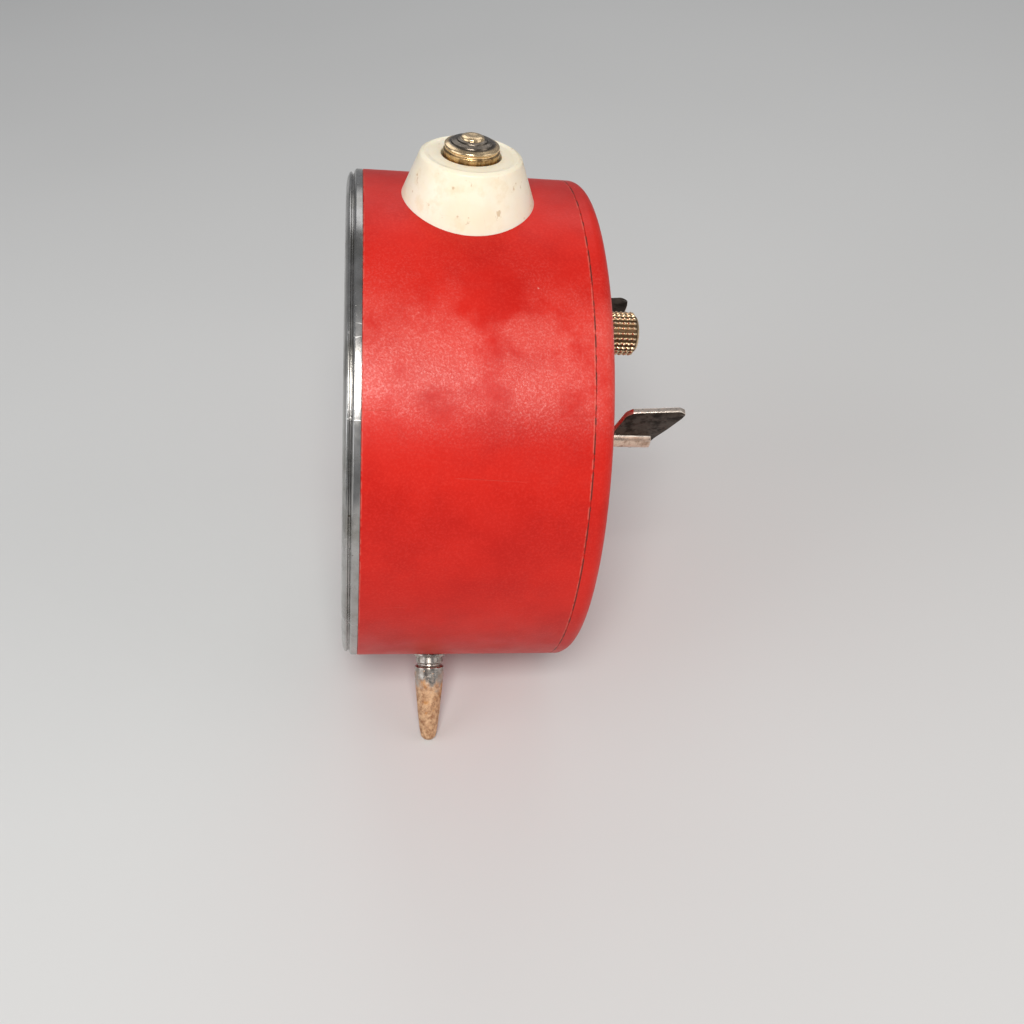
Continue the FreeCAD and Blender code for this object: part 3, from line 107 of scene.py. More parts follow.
class Shader:
    """A material with one Principled shader and short calls for the nodes that feed it."""

    def __init__(self, name, on_cad=False, **sockets):
        self.material = bpy.data.materials.new(name)
        self.material.use_nodes = True
        self.tree = self.material.node_tree
        self.bsdf = self.tree.nodes["Principled BSDF"]
        if on_cad:
            self.place = self.tree.nodes.new("ShaderNodeTexCoord").outputs["Object"]
        else:
            attribute = self.tree.nodes.new("ShaderNodeAttribute")
            attribute.attribute_name = OWN_PLACE
            self.place = attribute.outputs["Vector"]
        for socket, value in sockets.items():
            self.set(socket, value)

    def set(self, socket, value):
        """Give a socket of the shader a value or a link. Underscores stand for spaces."""
        target = self.bsdf.inputs[socket.replace("_", " ")]
        if isinstance(value, bpy.types.NodeSocket):
            self.tree.links.new(value, target)
        elif isinstance(value, tuple) and len(value) == 3 and target.type == "RGBA":
            target.default_value = (*value, 1)
        else:
            target.default_value = value

    def feed(self, node, index, value):
        """Give a node's input a value or a link."""
        if isinstance(value, bpy.types.NodeSocket):
            self.tree.links.new(value, node.inputs[index])
        elif isinstance(value, tuple) and node.inputs[index].type == "RGBA":
            node.inputs[index].default_value = (*value, 1)
        else:
            node.inputs[index].default_value = value

    def stretched(self, stretch, turn=(0, 0, 0)):
        """The place on the piece, turned and scaled, for a texture with a direction."""
        mapping = self.tree.nodes.new("ShaderNodeMapping")
        self.tree.links.new(self.place, mapping.inputs["Vector"])
        mapping.inputs["Scale"].default_value = stretch
        mapping.inputs["Rotation"].default_value = turn
        return mapping.outputs["Vector"]

    def noise(self, size, detail=3, rough=0.55, vector=None):
        """Noise whose features are about size metres across."""
        node = self.tree.nodes.new("ShaderNodeTexNoise")
        self.feed(node, "Vector", vector or self.place)
        self.feed(node, "Scale", 1 / size)
        self.feed(node, "Detail", float(detail))
        self.feed(node, "Roughness", rough)
        return node.outputs["Fac"]

    def span(self, value, low, high, start=0.0, end=1.0):
        """Value carried smoothly from low..high to start..end."""
        node = self.tree.nodes.new("ShaderNodeMapRange")
        node.interpolation_type = "SMOOTHSTEP"
        for index, number in enumerate((value, low, high, start, end)):
            self.feed(node, index, number)
        return node.outputs["Result"]

    def calc(self, operation, first, second=0.0):
        """One step of arithmetic."""
        node = self.tree.nodes.new("ShaderNodeMath")
        node.operation = operation
        self.feed(node, 0, first)
        self.feed(node, 1, second)
        return node.outputs[0]

    def times(self, *values):
        """The product of two or more values."""
        result = values[0]
        for value in values[1:]:
            result = self.calc("MULTIPLY", result, value)
        return result

    def larger(self, first, second):
        return self.calc("MAXIMUM", first, second)

    def mix(self, share, first, second):
        """The first colour where share is 0 and the second where it is 1."""
        node = self.tree.nodes.new("ShaderNodeMix")
        node.data_type = "RGBA"
        self.feed(node, 0, share)
        self.feed(node, 6, first)
        self.feed(node, 7, second)
        return node.outputs[2]

    def axes(self):
        """The x, y and z of the place on the piece."""
        node = self.tree.nodes.new("ShaderNodeSeparateXYZ")
        self.tree.links.new(self.place, node.inputs[0])
        return node.outputs

    def radius(self):
        """Distance from the piece's own Z axis."""
        x, y, _ = self.axes()
        return self.calc("SQRT", self.calc("ADD", self.times(x, x), self.times(y, y)))

    def band(self, value, centre, half, soft):
        """1 where value is within half of centre, fading over soft."""
        away = self.calc("ABSOLUTE", self.calc("SUBTRACT", value, centre))
        return self.span(away, half, half + soft, 1.0, 0.0)

    def hairlines(self, size, width, turn, stretch=(1, 1, 0.12)):
        """Thin broken scratches: the contour lines of a stretched noise."""
        vector = self.stretched(stretch, turn)
        lines = self.noise(size, 1, 0.3, vector)
        line = self.band(lines, 0.5, 0.0, width)
        broken = self.span(self.noise(size * 0.7, 3), 0.52, 0.64)
        return self.times(line, broken)

    def edge_light(self, low=0.52, high=0.6):
        """1 on convex edges, from the mesh's own shape."""
        geometry = self.tree.nodes.new("ShaderNodeNewGeometry")
        return self.span(geometry.outputs["Pointiness"], low, high)

    def bump(self, height, distance, normal=None):
        """A normal raised by height, where a height of 1 stands for distance metres."""
        node = self.tree.nodes.new("ShaderNodeBump")
        node.inputs["Strength"].default_value = 1.0
        node.inputs["Distance"].default_value = distance
        self.feed(node, "Height", height)
        if normal is not None:
            self.tree.links.new(normal, node.inputs["Normal"])
        return node.outputs["Normal"]


# ---- materials ----


def enamel():
    """Red stoving enamel: finely orange-peeled, blistered at mid height and rubbed along the seams, with a painted
    highlight: a pale pink haze and pale flecks in the band where the key light's highlight falls.
    """
    s = Shader("red_enamel", IOR=1.45, Coat_Weight=0.05, Coat_Roughness=0.3)
    _, up, depth = s.axes()
    tone = s.span(s.noise(16 * MM, 4), 0.32, 0.68)
    red = s.mix(tone, (0.50, 0.0080, 0.0035), (0.62, 0.0140, 0.0062))
    grime = s.times(s.span(s.noise(8 * MM, 5, 0.65), 0.54, 0.74), 0.20)
    red = s.mix(grime, red, (0.40, 0.013, 0.010))
    grain = s.times(s.span(s.noise(0.45 * MM, 2, 0.6), 0.48, 0.62), 0.16)
    red = s.mix(grain, red, (0.76, 0.045, 0.030))

    # The band about 36 mm up is where the key light's highlight falls on the drum. The blisters gather there, and
    # the pale colour laid into that band is painted highlight.
    middle = s.span(s.calc("ABSOLUTE", s.calc("SUBTRACT", up, 36 * MM)), 3 * MM, 13 * MM, 1.0, 0.0)
    spread = s.calc("ADD", s.times(middle, 0.9), 0.1)
    patch = s.times(s.span(s.noise(13 * MM, 4, 0.6), 0.34, 0.56), spread)
    fleck = s.span(s.noise(0.38 * MM, 3, 0.75), 0.46, 0.66)
    blister_flecks_and_glints = s.times(fleck, patch, 0.28)
    # Painted highlight: a broad pale pink haze over the patch in that band.
    red = s.mix(s.times(patch, middle, 0.50), red, (0.76, 0.110, 0.085))
    # Painted glints, partly real blisters: pale pink flecks, most of them in that band.
    red = s.mix(blister_flecks_and_glints, red, (0.80, 0.16, 0.13))
    lines = s.hairlines(26 * MM, 0.0012, (0.5, 0.2, 0.3), (1, 1, 0.05))
    red = s.mix(s.times(lines, 0.25), red, (0.80, 0.18, 0.13))

    ragged = s.span(s.noise(1.3 * MM, 4, 0.6), 0.40, 0.56)
    pale = s.larger(
        s.band(depth, CASE_DEPTH - 0.20 * MM, 0.05 * MM, 0.18 * MM),
        s.band(depth, 0.0, 0.12 * MM, 0.22 * MM),
    )
    worn = s.times(pale, ragged, 0.40)
    red = s.mix(worn, red, (0.66, 0.20, 0.15))
    dashes = s.span(s.noise(1.0 * MM, 2, 0.5, s.stretched((0.45, 0.45, 1))), 0.42, 0.52)
    bare = s.times(dashes, s.band(depth, CASE_DEPTH, 0.10 * MM, 0.08 * MM), 0.7)
    red = s.mix(bare, red, (0.085, 0.045, 0.035))
    chips = s.times(s.span(s.noise(3.2 * MM, 2, 0.5), 0.765, 0.78), 0.8)
    red = s.mix(chips, red, (0.74, 0.24, 0.20))
    s.set("Base Color", red)
    s.set("Specular IOR Level", s.calc("ADD", s.times(blister_flecks_and_glints, 2.2), 0.24))

    gloss = s.span(s.noise(5 * MM, 4), 0.3, 0.7, 0.40, 0.50)
    s.set("Roughness", s.calc("ADD", gloss, s.times(s.larger(worn, lines), 0.2)))
    peel = s.bump(s.noise(0.55 * MM, 3), 0.016 * MM)
    blisters = s.times(s.span(s.noise(0.9 * MM, 3, 0.6), 0.40, 0.80), patch)
    blistered = s.bump(blisters, 0.05 * MM, peel)
    s.set("Normal", s.bump(s.larger(s.larger(bare, chips), lines), -0.04 * MM, blistered))
    return s.material


def chrome():
    """Old chrome with hairlines, haze and small pits."""
    s = Shader("bezel_chrome", Metallic=1.0)
    haze = s.span(s.noise(7 * MM, 5, 0.6), 0.4, 0.7)
    bright = s.mix(haze, (0.46, 0.45, 0.44), (0.28, 0.27, 0.25))
    pits = s.span(s.noise(0.7 * MM, 3, 0.7), 0.66, 0.72)
    patches = s.span(s.noise(8 * MM, 3), 0.5, 0.62)
    pitted = s.times(pits, patches)
    bright = s.mix(pitted, bright, (0.13, 0.09, 0.06))
    lines = s.hairlines(7 * MM, 0.006, (0.2, 0.4, 1.1))
    s.set("Base Color", s.mix(s.times(lines, 0.3), bright, (0.9, 0.9, 0.9)))
    rough = s.span(s.noise(4 * MM, 4), 0.3, 0.7, 0.18, 0.30)
    s.set("Roughness", s.calc("ADD", rough, s.times(s.larger(pitted, lines), 0.3)))
    s.set("Normal", s.bump(s.calc("SUBTRACT", s.times(lines, 0.3), pitted), 0.02 * MM))
    return s.material


def crystal():
    """Domed glass with a few fine scratches."""
    s = Shader("crystal_glass", Base_Color=(0.97, 0.985, 0.98), IOR=1.5, Transmission_Weight=1.0)
    lines = s.hairlines(14 * MM, 0.0022, (0.3, 0.1, 0.6), (1, 0.2, 1))
    s.set("Roughness", s.times(lines, 0.35))
    s.set("Normal", s.bump(lines, -0.004 * MM))
    return s.material


def ivory():
    """Yellowed urea plastic with faint brown stains and fine dark scratches."""
    s = Shader("ivory_plastic", IOR=1.5, Coat_Weight=0.15, Coat_Roughness=0.2)
    s.set("Subsurface_Weight", 0.18)
    s.set("Subsurface_Scale", 1.5 * MM)
    s.set("Subsurface_Radius", (1.0, 0.7, 0.4))
    tone = s.span(s.noise(7 * MM, 4), 0.3, 0.7)
    cream = s.mix(tone, (0.88, 0.79, 0.60), (0.93, 0.87, 0.71))
    soft = s.times(s.span(s.noise(3.6 * MM, 4, 0.6), 0.54, 0.72), 0.45)
    cream = s.mix(soft, cream, (0.80, 0.66, 0.43))
    spots = s.times(s.span(s.noise(1.7 * MM, 3, 0.55), 0.64, 0.72), 0.6)
    cream = s.mix(spots, cream, (0.55, 0.36, 0.17))
    lines = s.hairlines(6 * MM, 0.005, (0.9, 0.3, 0.2))
    cream = s.mix(s.times(lines, 0.12), cream, (0.58, 0.45, 0.30))
    s.set("Base Color", cream)
    s.set("Roughness", s.span(s.noise(2.5 * MM, 4), 0.3, 0.7, 0.30, 0.44))
    fine = s.bump(s.noise(0.6 * MM, 3), 0.008 * MM)
    s.set("Normal", s.bump(s.larger(lines, spots), -0.015 * MM, fine))
    return s.material


def knob_brass(core_r, rib_r):
    """Brass that is near black between the ribs, partly brown dirt and partly painted shade, with paler crests,
    partly rubbed brass and partly painted highlight.
    """
    s = Shader("knob_brass", Metallic=1.0)
    patina = s.span(s.noise(1.8 * MM, 5, 0.65), 0.50, 0.70)
    tan = s.mix(patina, (0.80, 0.57, 0.34), (0.44, 0.27, 0.14))
    crest = s.span(s.radius(), core_r - 0.05 * MM, rib_r - 0.06 * MM)
    outer = s.span(s.radius(), core_r - 0.35 * MM, core_r - 0.1 * MM)
    hollow_dirt_and_shade = s.times(outer, s.span(crest, 0.0, 0.55, 1.0, 0.0))
    # Painted shade, partly real dirt: the hollows between the ribs are darkened to near black.
    tan_with_dirt_and_shade = s.mix(s.times(hollow_dirt_and_shade, 0.95), tan, (0.07, 0.038, 0.02))
    # Painted highlight, partly rubbed brass: the crests of the ribs are made paler.
    s.set("Base Color", s.mix(s.times(s.span(crest, 0.7, 1.0), 0.6), tan_with_dirt_and_shade, (0.93, 0.80, 0.58)))
    rough = s.calc("ADD", s.span(s.noise(0.9 * MM, 4), 0.3, 0.7, 0.20, 0.36), s.times(hollow_dirt_and_shade, 0.25))
    s.set("Roughness", rough)
    s.set("Normal", s.bump(s.noise(0.35 * MM, 4, 0.7), 0.012 * MM))
    return s.material


def button_brass(top_r, boss_r):
    """The stop button: a brown, nearly black cone between a rubbed rim and a brass boss."""
    s = Shader("button_brass", Metallic=1.0)
    radius = s.radius()
    height = s.axes()[2]
    cone = s.times(
        s.span(radius, boss_r, boss_r + 0.2 * MM),
        s.span(radius, top_r - 0.72 * MM, top_r - 0.5 * MM, 1.0, 0.0),
        s.span(height, -1.95 * MM, -1.75 * MM),
    )
    lower = s.span(height, -3.0 * MM, -2.7 * MM, 1.0, 0.0)
    blotch = s.span(s.noise(1.1 * MM, 5, 0.65), 0.40, 0.62)
    amber = s.mix(blotch, (0.60, 0.40, 0.19), (0.26, 0.16, 0.075))
    pale = s.mix(s.times(blotch, 0.35), (0.93, 0.70, 0.43), (0.54, 0.36, 0.19))
    brass = s.mix(lower, pale, amber)
    brown = s.mix(s.span(s.noise(0.8 * MM, 4), 0.4, 0.7), (0.085, 0.075, 0.066), (0.19, 0.16, 0.135))
    s.set("Base Color", s.mix(s.times(cone, 0.95), brass, brown))
    dull = s.calc("ADD", s.times(cone, 0.06), s.times(lower, 0.10))
    s.set("Roughness", s.calc("ADD", dull, s.span(s.noise(0.9 * MM, 3), 0.3, 0.7, 0.16, 0.27)))
    s.set("Normal", s.bump(s.noise(0.6 * MM, 3), 0.006 * MM))
    return s.material


def leg_metal(length):
    """Nickel plate that has rusted and pitted towards the tip."""
    s = Shader("leg_nickel")
    height = s.axes()[2]
    ragged = s.times(s.calc("SUBTRACT", s.noise(2.2 * MM, 5, 0.65), 0.5), 14 * MM)
    rust = s.span(s.calc("ADD", height, ragged), 0.22 * length, 0.46 * length)
    spots = s.times(s.span(s.noise(0.9 * MM, 3), 0.6, 0.68), s.span(height, 1.5 * MM, 5 * MM))
    rust = s.larger(rust, spots)
    tone = s.span(s.noise(1.0 * MM, 5, 0.7), 0.32, 0.66)
    tan = s.mix(tone, (0.32, 0.15, 0.07), (0.70, 0.45, 0.26))
    orange = s.span(s.noise(1.7 * MM, 3), 0.56, 0.7)
    tan = s.mix(s.times(orange, 0.6), tan, (0.56, 0.25, 0.06))
    nickel = s.mix(s.span(s.noise(1.5 * MM, 4), 0.4, 0.7), (0.50, 0.46, 0.42), (0.28, 0.24, 0.21))
    s.set("Base Color", s.mix(rust, nickel, tan))
    s.set("Metallic", s.span(rust, 0.0, 1.0, 1.0, 0.35))
    gloss = s.span(s.noise(0.8 * MM, 4), 0.3, 0.7, 0.2, 0.34)
    s.set("Roughness", s.calc("ADD", s.times(rust, 0.34), gloss))
    crust = s.times(s.noise(0.45 * MM, 5, 0.7), rust)
    s.set("Normal", s.bump(crust, 0.10 * MM))
    return s.material


def worn_steel(name, light, dark, share, rough):
    """Plated steel with tarnish, hairlines and rubbed edges."""
    grain = 0.5 * MM
    edge = (0.8, 0.76, 0.7)
    s = Shader(name, Metallic=1.0)
    tarnish = s.span(s.noise(grain * 4, 5, 0.62), 0.66 - share * 0.36, 0.86 - share * 0.36)
    metal = s.mix(tarnish, light, dark)
    lines = s.hairlines(4 * MM, 0.008, (0.4, 0.9, 0.2))
    metal = s.mix(s.times(lines, 0.5), metal, edge)
    s.set("Base Color", s.mix(s.times(s.edge_light(), 0.6), metal, edge))
    spread = s.span(s.noise(grain * 2, 4), 0.3, 0.7, rough - 0.07, rough + 0.09)
    s.set("Roughness", s.calc("ADD", spread, s.times(tarnish, 0.12)))
    height = s.calc("ADD", s.noise(grain, 4, 0.65), s.times(lines, -0.4))
    s.set("Normal", s.bump(height, 0.012 * MM))
    return s.material


def brushed(name, colour, rough=0.28):
    """Machined metal with a fine grain along one direction."""
    s = Shader(name, on_cad=True, Metallic=1.0)
    grain = s.noise(0.35 * MM, 3, 0.6, s.stretched((1, 0.06, 1)))
    dull = s.span(s.noise(5 * MM, 4), 0.35, 0.7)
    dark = tuple(part * 0.62 for part in colour)
    s.set("Base Color", s.mix(s.times(dull, 0.7), colour, dark))
    s.set("Roughness", s.calc("ADD", s.times(grain, 0.18), rough - 0.05))
    s.set("Normal", s.bump(grain, 0.006 * MM))
    return s.material


def printed(name, colour, stain, rough=0.6, on_cad=False):
    """Matt printed card or paint, faintly foxed with age."""
    s = Shader(name, on_cad, Roughness=rough)
    foxing = s.times(s.span(s.noise(9 * MM, 5, 0.6), 0.5, 0.78), 0.6)
    spots = s.times(s.span(s.noise(1.8 * MM, 3), 0.67, 0.74), 0.5)
    s.set("Base Color", s.mix(s.larger(foxing, spots), colour, stain))
    s.set("Normal", s.bump(s.noise(0.3 * MM, 3), 0.006 * MM))
    return s.material


def painted(name, colour, worn):
    """Thin paint, rubbed through at its edges."""
    s = Shader(name, on_cad=True)
    rub = s.times(s.edge_light(0.51, 0.58), s.span(s.noise(0.9 * MM, 3), 0.45, 0.6))
    s.set("Base Color", s.mix(rub, colour, worn))
    s.set("Roughness", s.span(s.noise(1.5 * MM, 4), 0.3, 0.7, 0.27, 0.47))
    s.set("Normal", s.bump(s.noise(0.4 * MM, 3), 0.006 * MM))
    return s.material


# ---- mesh helpers ----


def finished(name, mesh, matrix, material, body, replaces=(), sharp=32):
    """Put a mesh into the scene as a piece of the clock that rides on a body.

    Each corner keeps its place in the piece's own frame, which the finishes are laid out in.
    """
    mesh.validate()
    own = mesh.attributes.new(OWN_PLACE, "FLOAT_VECTOR", "POINT")
    own.data.foreach_set("vector", [part for corner in mesh.vertices for part in corner.co])
    mesh.transform(matrix)
    mesh.shade_smooth()
    mesh.set_sharp_from_angle(angle=math.radians(sharp))
    piece = bpy.data.objects.new(name, mesh)
    bpy.context.scene.collection.objects.link(piece)
    for item in material if isinstance(material, (list, tuple)) else [material]:
        mesh.materials.append(item)
    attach(piece, body)
    if replaces:
        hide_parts(*replaces)
    return piece


def soften(points, radius, steps=5, closed=True):
    """Round each corner of an outline. A point may carry a radius of its own as a third number.

    A rounding takes no more than a set share of either run beside it.
    """
    straight = math.radians(176)
    longest = 0.46
    result = []
    count = len(points)
    for index, point in enumerate(points):
        here = Vector(point[:2])
        size = point[2] if len(point) > 2 else radius
        if not closed and index in (0, count - 1) or size <= 0:
            result.append(tuple(here))
            continue
        before = Vector(points[index - 1][:2]) - here
        after = Vector(points[(index + 1) % count][:2]) - here
        angle = before.angle(after)
        if angle > straight:
            result.append(tuple(here))
            continue
        reach = min(size / math.tan(angle / 2), before.length * longest, after.length * longest)
        start = here + before.normalized() * reach
        end = here + after.normalized() * reach
        for step in range(steps + 1):
            t = step / steps
            curve = start * (1 - t) ** 2 + here * 2 * t * (1 - t) + end * t ** 2
            result.append(tuple(curve))
    return result


def divided(points, longest):
    """Add points along the longer runs of a closed outline."""
    result = []
    for index, point in enumerate(points):
        here = Vector(point)
        run = Vector(points[(index + 1) % len(points)]) - here
        pieces = max(1, math.ceil(run.length / longest))
        result.extend(tuple(here + run * step / pieces) for step in range(pieces))
    return result


def lathe_mesh(name, profile, steps, closed, shift=None):
    """Turn a (radius, depth) profile about Z. An open profile starts and ends on the axis."""
    corners = []
    rings = []
    for radius, depth in profile:
        if radius < ON_AXIS:
            rings.append([len(corners)])
            corners.append(Vector((0, 0, depth)))
            continue
        rings.append(list(range(len(corners), len(corners) + steps)))
        for step in range(steps):
            angle = 2 * math.pi * step / steps
            corner = Vector((radius * math.cos(angle), radius * math.sin(angle), depth))
            corners.append(shift(corner) if shift else corner)
    faces = []
    pairs = list(zip(rings, rings[1:])) + ([(rings[-1], rings[0])] if closed else [])
    for low, high in pairs:
        for step in range(steps):
            after = (step + 1) % steps
            if len(low) == 1:
                faces.append((low[0], high[after], high[step]))
            elif len(high) == 1:
                faces.append((low[step], low[after], high[0]))
            else:
                faces.append((low[step], low[after], high[after], high[step]))
    mesh = bpy.data.meshes.new(name)
    mesh.from_pydata(corners, [], faces)
    tidy_normals(mesh)
    return mesh


def tidy_normals(mesh):
    """Join corners that share a place, and turn every face outwards."""
    work = bmesh.new()
    work.from_mesh(mesh)
    bmesh.ops.remove_doubles(work, verts=work.verts, dist=1e-7)
    bmesh.ops.recalc_face_normals(work, faces=work.faces)
    work.to_mesh(mesh)
    work.free()


def slab_mesh(name, outline, thickness, bevel=0.0):
    """A flat plate cut from an outline, with rounded edges, from z = 0 upwards."""
    work = bmesh.new()
    corners = [work.verts.new((x, y, 0)) for x, y in outline]
    base = work.faces.new(corners)
    base.normal_update()
    if base.normal.z > 0:
        base.normal_flip()
    top = bmesh.ops.extrude_face_region(work, geom=[base])
    raised = [item for item in top["geom"] if isinstance(item, bmesh.types.BMVert)]
    bmesh.ops.translate(work, verts=raised, vec=(0, 0, thickness))
    bmesh.ops.recalc_face_normals(work, faces=work.faces)
    if bevel:
        rims = []
        for edge in work.edges:
            start, end = edge.verts
            if abs(start.co.z - end.co.z) < thickness / 9:
                rims.append(edge)
        bmesh.ops.bevel(
            work, geom=rims, offset=bevel, segments=3, profile=0.5, affect="EDGES", clamp_overlap=True
        )
    mesh = bpy.data.meshes.new(name)
    work.to_mesh(mesh)
    work.free()
    return mesh


def carved(mesh, cutters):
    """The mesh with each cutter taken away."""
    target = bpy.data.objects.new("carve_target", mesh)
    bpy.context.scene.collection.objects.link(target)
    others = []
    for cutter in cutters:
        other = bpy.data.objects.new("carve_tool", cutter)
        bpy.context.scene.collection.objects.link(other)
        others.append(other)
        modifier = target.modifiers.new("carve", "BOOLEAN")
        modifier.object = other
        modifier.solver = "EXACT"
    graph = bpy.context.evaluated_depsgraph_get()
    result = bpy.data.meshes.new_from_object(target.evaluated_get(graph))
    for item in [target] + others:
        bpy.data.objects.remove(item)
    return result


def rod_mesh(radius, low, high, centre=(0, 0), steps=48):
    """A round rod along z."""
    mesh = lathe_mesh("rod", [(0, low), (radius, low), (radius, high), (0, high)], steps, False)
    mesh.transform(Matrix.Translation((*centre, 0)))
    return mesh


def joined(name, meshes):
    """Several closed meshes as one, with no solid fused to another."""
    work = bmesh.new()
    for mesh in meshes:
        work.from_mesh(mesh)
    result = bpy.data.meshes.new(name)
    work.to_mesh(result)
    work.free()
    return result


# ---- case ----


SHEET_EDGE = 0.16 * MM


def dented(corner):
    """The drum's sheet isn't quite true: shallow waves of a few hundredths of a millimetre."""
    wave = noise.noise(corner * 45) * 0.045 * MM + noise.noise(corner * 130) * 0.014 * MM
    outward = Vector((corner.x, corner.y, 0)).normalized()
    near_end = min(corner.z, CASE_DEPTH - corner.z)
    calm = max(0.0, min(1.0, near_end / (4 * MM)))
    return corner + outward * wave * calm - outward * 0.02 * MM


def make_case_band(red):
    """The drum's sheet, with rolled edges at both ends."""
    inner_r = CASE_R - 0.6 * MM
    band = [
        (inner_r, 0.0, 0.1 * MM),
        (CASE_R, 0.0, 0.25 * MM),
        (CASE_R, CASE_DEPTH, SHEET_EDGE),
        (inner_r, CASE_DEPTH, 0.1 * MM),
    ]
    profile = divided(soften(band, SHEET_EDGE), 1.2 * MM)
    mesh = lathe_mesh("case_band_skin", profile, RING_STEPS, True, dented)
    finished("case_band_skin", mesh, DRUM, red, "root", ["case_band"])


def cover_profile():
    """The rear cover's section: a flat back, a rounded rim and a lip inside the band."""
    outer_r = CASE_R - 0.02 * MM
    lip_r = CASE_R - 0.7 * MM
    inner_r = CASE_R - 1.3 * MM
    seam = CASE_DEPTH + 0.03 * MM
    lip_end = CASE_DEPTH - 2.8 * MM
    inside = BACK_DEPTH - 0.7 * MM
    rounding = 2.53 * MM
    count = 12
    rim = []
    for step in range(count + 1):
        angle = math.radians(90 - 90 / count * step)
        out = outer_r - rounding + rounding * math.cos(angle)
        rim.append((out, BACK_DEPTH - rounding + rounding * math.sin(angle), 0))
    return [
        (0.0, BACK_DEPTH),
        *rim,
        (outer_r, seam, SHEET_EDGE),
        (lip_r, seam, 0),
        (lip_r, lip_end, 0.1 * MM),
        (inner_r, lip_end, 0.1 * MM),
        (inner_r, inside, 1.6 * MM),
        (0.0, inside),
    ]


def make_back_cover(red):
    """The rear cover, with holes for the keys, the knobs and the bell's sound, and the regulator's slot."""
    shell = lathe_mesh("back_cover_skin", soften(cover_profile(), 0.2 * MM, 10, False), RING_STEPS, False)
    low, high = BACK_DEPTH - 2 * MM, BACK_DEPTH + 1 * MM
    cutters = [rod_mesh(2.3 * MM, low, high, place) for place in (TIME_KEY, ALARM_KEY)]
    cutters += [rod_mesh(1.6 * MM, low, high, place) for place in (TIME_KNOB, ALARM_KNOB)]
    bell = TO_DRUM @ box_middle("bell")
    sound_holes = 8
    for index in range(sound_holes):
        angle = math.radians((index + 0.5) * 360 / sound_holes)
        place = (bell.x + 9 * MM * math.cos(angle), bell.y + 9 * MM * math.sin(angle))
        cutters.append(rod_mesh(1.3 * MM, low, high, place))
    cutters.append(slot_mesh(low, high))
    finished("back_cover_skin", carved(shell, cutters), DRUM, red, "root", ["back_cover"])


def box_middle(node):
    """The middle of a CAD node's box."""
    low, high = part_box(node)
    return (low + high) / 2


def slot_mesh(low, high):
    """The curved slot of the regulator's finger, as a cutter."""
    reach, half, turn = 8.5 * MM, 1.0 * MM, math.radians(20)
    spread = math.radians(24)
    count = 16
    outline = []
    for side, order in ((half, range(count + 1)), (-half, range(count, -1, -1))):
        for step in order:
            angle = turn - spread + 2 * spread * step / count
            across = (reach + side) * math.cos(angle)
            along = (reach + side) * math.sin(angle)
            outline.append((BALANCE[0] + across, BALANCE[1] + along))
    mesh = slab_mesh("slot", outline, high - low)
    mesh.transform(Matrix.Translation((0, 0, low)))
    return mesh


def make_bezel(metal):
    """The chrome ring: a skirt inside the band, a bead and a step, and a rolled front lip."""
    front = BEZEL_FRONT
    r = CASE_R
    points = [
        (r - 1.3 * MM, -0.9 * MM, 0),
        (r - 1.3 * MM, 3.0 * MM, 0.1 * MM),
        (r - 0.65 * MM, 3.0 * MM, 0.1 * MM),
        (r - 0.65 * MM, -0.03 * MM, 0),
        (r - 0.02 * MM, -0.03 * MM, 0.12 * MM),
        (r - 0.02 * MM, -1.22 * MM, 0.3 * MM),
        (r - 0.5 * MM, -1.55 * MM, 0.25 * MM),
        (r - 1.05 * MM, -1.72 * MM, 0.25 * MM),
        (r - 1.05 * MM, -1.92 * MM, 0.2 * MM),
        (r - 0.62 * MM, -2.1 * MM, 0.3 * MM),
        (r - 0.78 * MM, -2.5 * MM, 0.3 * MM),
        (r - 1.7 * MM, front + 0.2 * MM, 0.6 * MM),
        (r - 3.0 * MM, front, 0.6 * MM),
        (r - 4.6 * MM, front + 0.1 * MM, 0.6 * MM),
        (r - 5.6 * MM, front + 0.5 * MM, 0.15 * MM),
        (r - 5.6 * MM, front + 0.8 * MM, 0.08 * MM),
        (r - 3.7 * MM, front + 0.8 * MM, 0),
        (r - 3.7 * MM, -0.9 * MM, 0),
    ]
    mesh = lathe_mesh("bezel_ring", soften(points, 0.1 * MM, 6), RING_STEPS, True)
    finished("bezel_ring", mesh, DRUM, metal, "root", ["bezel"])


def make_crystal(glass):
    """The domed glass."""
    edge_r = CASE_R - 3.75 * MM
    crown = BEZEL_FRONT + 0.1 * MM
    sag = 0.75 * MM
    thick = 1.0 * MM
    count = 24
    front = [(edge_r * step / count, crown + sag * (step / count) ** 2) for step in range(count + 1)]
    back = [(radius, depth + thick) for radius, depth in reversed(front)]
    mesh = lathe_mesh("crystal_dome", front + back, 192, False)
    finished("crystal_dome", mesh, DRUM, glass, "root", ["crystal"])


# ---- button and collar ----


def top_frame():
    """The frame of the button's axis: z up along it, with its origin on the drum's axis."""
    middle = TO_DRUM @ box_middle("stop_button")
    local = Matrix(((-1, 0, 0, 0), (0, 0, 1, 0), (0, 1, 0, middle.z), (0, 0, 0, 1)))
    return DRUM @ local


def heights(node, matrix):
    """Lowest and highest z, and largest radius, of a CAD node in a frame."""
    inverse = matrix.inverted()
    places = [inverse @ corner.co for corner in frame["nodes"][node].data.vertices]
    return (
        min(place.z for place in places),
        max(place.z for place in places),
        max(math.hypot(place.x, place.y) for place in places),
    )


